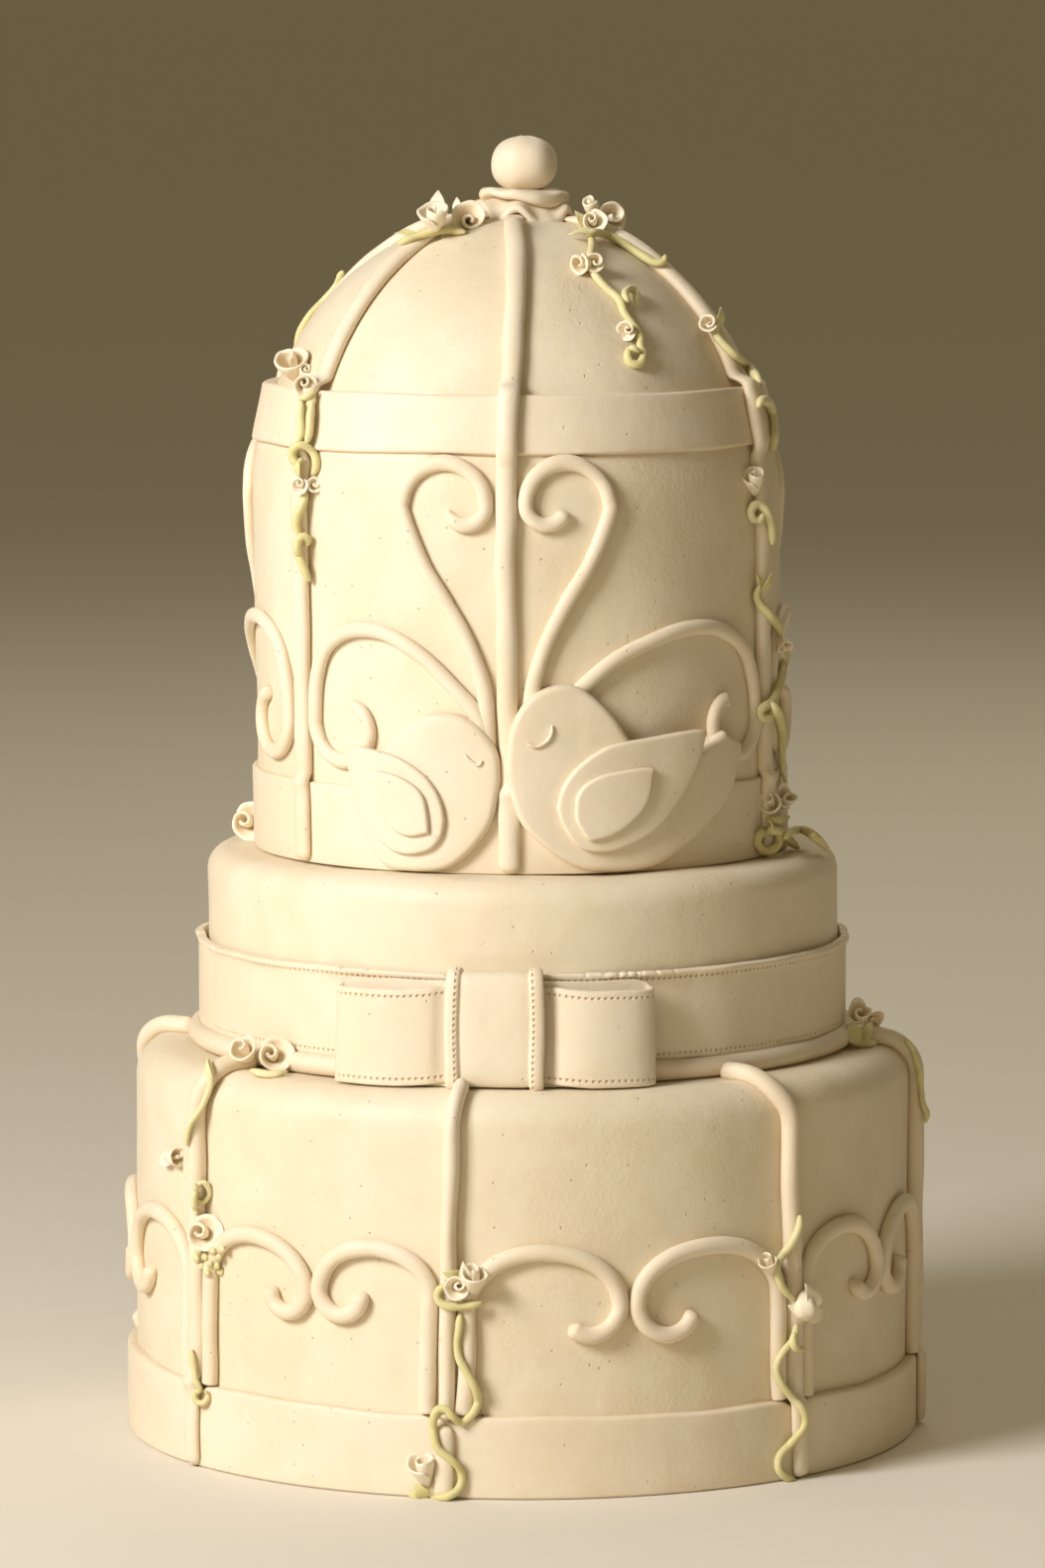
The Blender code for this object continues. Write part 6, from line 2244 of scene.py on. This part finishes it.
def bottom_sprigs() -> list[Sprig]:
    """What grows on the bottom tier's ribs.

    Returns:
        The sprigs.
    """
    vines_b = [
        seen((209, 1067), (212, 1078), (213, 1090), (210, 1102), (203, 1118), (193, 1132), (189, 1144),
             (188, 1156)),
        seen((199, 1196), (205, 1193), (210, 1198), (211, 1206), (205, 1213), (198, 1212), (195, 1205),
             (199, 1196), (196, 1206), (196, 1216), (199, 1226)),
        seen((193, 1361), (195, 1376), (197, 1391)) + ring(203, 1409, 6.8, 100, 320),
    ]
    moss = ((200, 1262), (207, 1268), (214, 1262), (220, 1268), (211, 1275), (203, 1277), (218, 1277),
            (209, 1284), (224, 1260), (198, 1270), (222, 1283))
    vines_c = [
        seen((450, 1297), (444, 1300), (441, 1307), (444, 1314), (453, 1318), (465, 1318), (477, 1317),
             (487, 1315)),
        seen((464, 1326), (463, 1340), (461, 1354), (463, 1370), (471, 1385), (478, 1398), (482, 1412),
             (478, 1425), (466, 1435), (457, 1430), (450, 1422), (441, 1423), (437, 1434), (438, 1450),
             (442, 1462), (453, 1471), (463, 1481), (466, 1493), (461, 1504), (448, 1511), (430, 1513),
             (413, 1509)),
    ]
    vines_d = [
        seen((807, 1226), (806, 1238), (800, 1252), (790, 1266), (784, 1276), (785, 1288), (790, 1300),
             (801, 1312)),
        seen((803, 1336), (801, 1350), (790, 1364), (783, 1379), (787, 1394), (799, 1410), (811, 1425),
             (811, 1440), (798, 1456), (786, 1470), (786, 1484), (796, 1492), (805, 1495)),
        seen((801, 1344), (800, 1354), (804, 1361), (812, 1361)),
    ]
    vine_e = seen((914, 1048), (922, 1062), (927, 1080), (929, 1098), (931, 1114), (935, 1124), (933, 1133))
    return [
        Sprig("sprig_b", "rib_bottom_b", vines_b, radius=1.3,
              blooms=[Bloom(Seen(181, 1166), 4.3, 9.0, (1.1, 0.35), Kind.CONE, 60)],
              leaves=[Leaf((214, 1089), (209, 1068), 2.2)],
              lumps=[Lump(spot, (1.8, 1.6, 1.3), seed) for seed, spot in enumerate(moss)],
              petals=[Leaf((177, 1167), (160, 1173), 5.0, 1.6)]),
        Sprig("sprig_b_rose", "rose_rib_b",
              blooms=[Bloom(Seen(204, 1243), 8.0, 9.0, (-0.15, 0.35), spin=140)]),
        Sprig("sprig_c", "rib_bottom_c", vines_c,
              leaves=[Leaf((470, 1288), (446, 1284), 5.0), Leaf((430, 1510), (418, 1496), 5.0, 3.0),
                      Leaf((432, 1511), (410, 1507), 4.0)]),
        Sprig("sprig_c_roses", "roses_rib_c",
              blooms=[Bloom(Seen(461, 1299), 5.2, 7.5, (0.05, 0.15), spin=20),
                      Bloom(Seen(478, 1281), 5.8, 12.0, (0.05, 1.7), Kind.CONE, 110)],
              petals=[Leaf((472, 1294), (467, 1273), 4.5, 9.0)]),
        Sprig("sprig_c_cone", "cone_rose_rib_c",
              blooms=[Bloom(Seen(424, 1471), 6.2, 14.0, (-0.4, 2.1), Kind.CONE, -40)]),
        Sprig("sprig_d", "rib_bottom_d", vines_d,
              blooms=[Bloom(Seen(773, 1269), 4.2, 9.5, (-0.4, 1.3), Kind.CONE, 100)]),
        Sprig("sprig_d_star", "star_rose_rib_d",
              petals=[Leaf((813, 1327), (812, 1295), 8.5, 6.0, 0.20), Lump((812, 1318), (4.6, 6.0, 5.2)),
                      Leaf((812, 1329), (794, 1317), 5.6, 6.0, 0.2),
                      Leaf((812, 1330), (831, 1321), 5.2, 5.0, 0.2)]),
        Sprig("sprig_e", "rib_bottom_e", [vine_e], leaves=[Leaf((921, 1062), (925, 1092), 3.4)], radius=1.4),
        Sprig("sprig_f", "rib_bottom_f", [by_rib("f", (0, 166), (4, 157), (-2, 147), (-4, 138), (1, 129))],
              [Bloom(*by_rib("f", (0, 126)), 5.4, 7.0, (0.2, 0.3))]),
        Sprig("sprig_g", "rib_bottom_g", [by_rib("g", (3, 122), (-3, 111), (-2, 100), (3, 88))],
              [Bloom(*by_rib("g", (0, 127)), 5.8, 5.5, (-0.2, 0.2))]),
        Sprig("sprig_h", "rib_bottom_h", [by_rib("h", (4, 62), (0, 54), (-4, 46), (-2, 36))],
              [Bloom(*by_rib("h", (1, 68)), 5.6, 7.0, (0.2, 0.2), Kind.CONE)]),
        Sprig("sprig_foot_left", "roses_foot_left",
              [seen((290, 1081), (276, 1084), (264, 1083), (252, 1080))],
              [Bloom(Seen(277, 1062), 8.0, 9.0, (0.15, 0.5), spin=140),
               Bloom(Seen(242, 1055), 6.2, 11.0, (-0.5, 0.9), Kind.CONE, 150)]),
        Sprig("sprig_foot_right", "roses_foot_right", [seen((856, 1050), (870, 1053), (884, 1052))],
              [Bloom(Seen(867, 1019), 6.2, 10.0, (0.0, 0.7), Kind.STAR, -60),
               Bloom(Seen(884, 1030), 5.0, 8.0, (0.7, 0.2), Kind.STAR, -130)],
              [Leaf((862, 1053), (860, 1031), 5.4, 4.0), Leaf((871, 1054), (877, 1032), 5.4, 4.0)]),
    ]


def cage_sprigs() -> list[Sprig]:
    """What grows on the birdcage.

    Returns:
        The sprigs.
    """
    vines_right = [
        seen((726, 320), (722, 336), (732, 350), (746, 362), (756, 372), (768, 386)),
        seen((764, 412), (768, 404), (775, 406), (779, 416), (781, 430), (781, 444), (778, 456)),
        seen((779, 550), (779, 536), (776, 523), (771, 513), (763, 509), (757, 515), (759, 523), (766, 525),
             (770, 518)),
        seen((767, 590), (763, 600), (767, 611), (776, 620), (784, 630), (788, 642)),
        seen((790, 664), (789, 682), (784, 697), (779, 708), (772, 712), (766, 718), (769, 725), (776, 724),
             (779, 716)),
        seen((778, 708), (785, 720), (789, 738), (789, 758), (788, 776)),
        seen((782, 838), (786, 848), (780, 857), (770, 858), (764, 850), (767, 841), (776, 838), (786, 840),
             (796, 848), (806, 856)),
        seen((790, 846), (800, 838), (812, 838), (824, 846), (836, 858)),
    ]
    leaves_right = [
        Leaf((722, 330), (727, 310), 3.6, 1.5), Leaf((757, 372), (768, 392), 4.0),
        Leaf((767, 596), (763, 580), 4.2, 3.0), Leaf((768, 596), (778, 578), 3.6, 3.0),
        Leaf((788, 650), (792, 678), 4.0, 1.5), Leaf((788, 738), (786, 766), 4.4, 1.5),
        Leaf((788, 778), (790, 800), 4.0, 1.5), Leaf((780, 838), (771, 826), 3.6, 2.0),
    ]
    vines_left = [
        seen((304, 404), (303, 420), (304, 436), (300, 448)),
        seen((315, 406), (313, 420), (312, 436), (309, 448)),
        seen((305, 462), (301, 467), (296, 463), (295, 455), (301, 449), (310, 451), (317, 459), (319, 470),
             (315, 480)),
        seen((309, 495), (306, 507), (300, 520), (299, 532), (303, 542)),
        seen((308, 552), (311, 546), (307, 541), (301, 545), (300, 556), (304, 568), (308, 578), (312, 587)),
    ]
    vines_crown_right = [
        seen((596, 232), (597, 248), (595, 262), (600, 277), (611, 290), (624, 302), (630, 316), (638, 327),
             (645, 338), (646, 350), (649, 358), (645, 367), (636, 366), (633, 357), (638, 351), (645, 355)),
        seen((634, 305), (630, 296), (636, 291), (642, 297), (641, 306)),
        seen((588, 236), (606, 235), (626, 244), (648, 258), (660, 265), (669, 264), (671, 257)),
    ]
    vine_back_left = by_rib("back_left", (3, 488), (-3, 480), (-2, 472), (3, 464), (2, 455), (-2, 448))
    return [
        Sprig("sprig_right", "rib_cage_right", vines_right,
              [Bloom(Seen(714, 325), 3.6, 6.0, (-0.2, 0.3), Kind.CUP),
               Bloom(Seen(794, 655), 3.6, 7.5, (0.8, -1.0), Kind.CONE)], leaves_right, radius=1.85),
        Sprig("sprig_left", "rib_cage_left", vines_left,
              [Bloom(Seen(301, 489), 3.8, 5.5, (-0.3, 0.2), spin=60),
               Bloom(Seen(318, 488), 3.4, 5.5, (0.2, 0.3), Kind.CONE, 40)],
              [Leaf((301, 466), (303, 484), 3.4)], [Lump((314, 405), (2.2, 3.2, 2.0))], radius=1.8),
        Sprig("sprig_back_right", "rib_cage_back_right",
              [by_rib("back_right", (3, 380), (-3, 371), (-4, 362), (3, 354), (4, 345))],
              [Bloom(*by_rib("back_right", (3, 342)), 4.8, 7.0, (0.3, -0.3))]),
        Sprig("sprig_back", "rib_cage_back", [by_rib("back", (2, 410), (-3, 402), (0, 392), (4, 382))],
              [Bloom(*by_rib("back", (2, 414)), 5.2, 7.0, (0.2, 0.3))]),
        Sprig("sprig_back_left", "rib_cage_back_left", [vine_back_left]),
        Sprig("sprig_crown_left", "roses_crown_left",
              [seen((470, 234), (450, 232), (432, 235), (415, 240), (402, 246))],
              [Bloom(Seen(437, 209), 6.8, 11.0, (-0.1, 1.9), Kind.CONE, -70),
               Bloom(Seen(473, 218), 7.0, 8.5, (0.05, 0.3), spin=-110)],
              [Leaf((420, 240), (398, 236), 3.6)],
              petals=[Leaf((445, 228), (442, 192), 6.4, 12.0, 0.2), Leaf((463, 216), (461, 199), 3.4, 7.0)]),
        Sprig("sprig_crown_right", "roses_crown_right", vines_crown_right,
              [Bloom(Seen(620, 218), 7.0, 9.0, (0.5, 0.15), Kind.CONE, 30),
               Bloom(Seen(599, 221), 5.4, 9.5, (0.0, 0.35), spin=120),
               Bloom(Seen(594, 201), 3.4, 10.0, (-0.5, 1.4), Kind.BUD, 40),
               Bloom(Seen(582, 266), 4.2, 7.0, (-0.7, 0.0), Kind.CUP, 90),
               Bloom(Seen(601, 264), 4.2, 7.0, (0.15, 0.1), Kind.CONE, 30),
               Bloom(Seen(631, 333), 4.3, 6.5, (-0.35, 0.1))],
              [Leaf((589, 233), (580, 213), 4.6, 4.0), Leaf((600, 236), (573, 237), 5.0, 2.0)]),
        Sprig("sprig_dome_left", "roses_dome_left", [seen((300, 402), (309, 400), (318, 394))],
              [Bloom(Seen(291, 358), 7.6, 13.0, (-0.4, 1.4), Kind.CONE, 160),
               Bloom(Seen(308, 388), 5.2, 8.0, (0.15, 0.0), spin=90),
               Bloom(Seen(309, 371), 2.8, 8.0, (0.3, 0.7), Kind.BUD)]),
        Sprig("sprig_calla", "calla_cage_right",
              blooms=[Bloom(Seen(760, 476), 4.9, 12.5, (-0.1, 1.3), Kind.CONE, -60)]),
        Sprig("sprig_cage_foot", "roses_cage_foot_right", [seen((776, 826), (786, 828), (796, 824))],
              [Bloom(Seen(775, 807), 5.2, 10.5, (-0.3, 0.7), Kind.CONE, 120),
               Bloom(Seen(795, 802), 5.6, 12.0, (0.3, 0.6), Kind.STAR, -60)]),
    ]


def middle_sprigs() -> list[Sprig]:
    """What lies on the middle tier's top.

    Returns:
        The sprigs.
    """
    vine = [(angle, ledge(MIDDLE, radius)) for angle, radius in ((-98, 118.5), (-103, 120.5), (-108, 122))]
    blooms = [Bloom(Seen(249, 828), 8.4, 10.0, (-0.15, 0.3), spin=140),
              Bloom((-106, ledge(MIDDLE, 119)), 5.0, 11.0, (-0.2, -0.2), Kind.CONE)]
    return [Sprig("sprig_middle", "roses_middle_top_left", [vine], blooms)]


@dataclass(frozen=True)
class Lamp:
    """A soft light: its place and width in metres, its power in watts, and its colour."""

    name: str
    where: Size
    width: float
    power: float
    colour: Colour


@dataclass
class Studio:
    """The pale floor, the soft light and the photograph's camera, in metres."""

    lamps: Sequence[Lamp] = (
        Lamp("key", (-1.50, -1.38, 1.34), 0.8, 59.0, (0.99, 0.975, 1.0)),
        Lamp("fill", (-0.5, -2.6, 1.0), 1.6, 4.0, (1.0, 0.88, 0.68)),
        Lamp("back", (0.6, 2.4, 2.6), 2.0, 20.0, (1.0, 0.92, 0.78)),
    )
    aim: Size = (0.0, 0.0, 0.27)
    air: Colour = (1.0, 0.83, 0.50)
    air_strength: float = 0.17
    floor: Colour = (0.80, 0.74, 0.62)
    floor_roughness: float = 0.8
    floor_reach: float = 250.0
    view_reach: float = 600.0

    @staticmethod
    def _stand(name: str, data: bpy.types.ID, where: Size = (0.0, 0.0, 0.0)) -> bpy.types.Object:
        """Adds an object to the scene.

        Args:
            name: Its name.
            data: Its mesh, light or camera.
            where: Where it stands.

        Returns:
            The object.
        """
        made = bpy.data.objects.new(name, data)
        made.location = where
        bpy.context.scene.collection.objects.link(made)
        return made

    def _ground(self) -> None:
        """Lays the floor."""
        graph = Graph("studio_floor")
        shader = graph.node("ShaderNodeBsdfPrincipled", {}, {
            "Base Color": self.floor, "Roughness": self.floor_roughness})
        graph.node("ShaderNodeOutputMaterial", {}, {"Surface": shader})
        mesh = bpy.data.meshes.new("studio_floor")
        far = self.floor_reach
        mesh.from_pydata([(-far, -far, 0), (far, -far, 0), (far, far, 0), (-far, far, 0)], [], [(0, 1, 2, 3)])
        mesh.materials.append(graph.material)
        self._stand("studio_floor", mesh)

    def _light(self) -> None:
        """Hangs the lamps and fills the air between them."""
        for lamp in self.lamps:
            light = bpy.data.lights.new(lamp.name, "AREA")
            light.size, light.energy, light.color = lamp.width, lamp.power, lamp.colour
            way = Vector(self.aim) - Vector(lamp.where)
            made = self._stand(lamp.name, light, lamp.where)
            made.rotation_euler = way.to_track_quat("-Z", "Y").to_euler()
        world = bpy.data.worlds.new("studio")
        world.use_nodes = True
        background = world.node_tree.nodes["Background"]
        background.inputs["Color"].default_value = (*self.air, 1.0)
        background.inputs["Strength"].default_value = self.air_strength
        bpy.context.scene.world = world
        bpy.context.scene.view_settings.view_transform = "Standard"

    def build(self) -> None:
        """Sets up the floor, the light and the camera."""
        self._ground()
        self._light()
        camera = bpy.data.cameras.new("camera")
        camera.lens, camera.sensor_width, camera.clip_end = SIGHT.lens, SENSOR, self.view_reach
        made = self._stand("camera", camera, SIGHT.where)
        made.rotation_euler = (math.radians(90.0 - SIGHT.pitch), 0.0, 0.0)
        bpy.context.scene.camera = made


def main() -> None:
    """Builds the dressed cake in its studio."""
    bench = Bench()
    tiers = Tiers().build(bench)
    bands = Bands().build(bench)
    Ribbon().build(bench)
    Bow().build(bench)
    wall = Ground(BOTTOM, [tiers["tier_bottom"], bands["bottom"], bands["roll"], *BottomWork().build(bench)])
    cage = Ground(CAGE, [tiers["tier_top"], bands["foot"], bands["rim"], *CageWork().build(bench)])
    Lovebirds().build(bench)
    cage.lay(Cap().build(bench))
    for ground, sprigs in ((wall, bottom_sprigs()), (cage, cage_sprigs()),
                           (Ground(MIDDLE, [tiers["tier_middle"]]), middle_sprigs())):
        for sprig in sprigs:
            sprig.build(bench, ground)
    Studio().build()


if __name__ == "__main__":
    main()
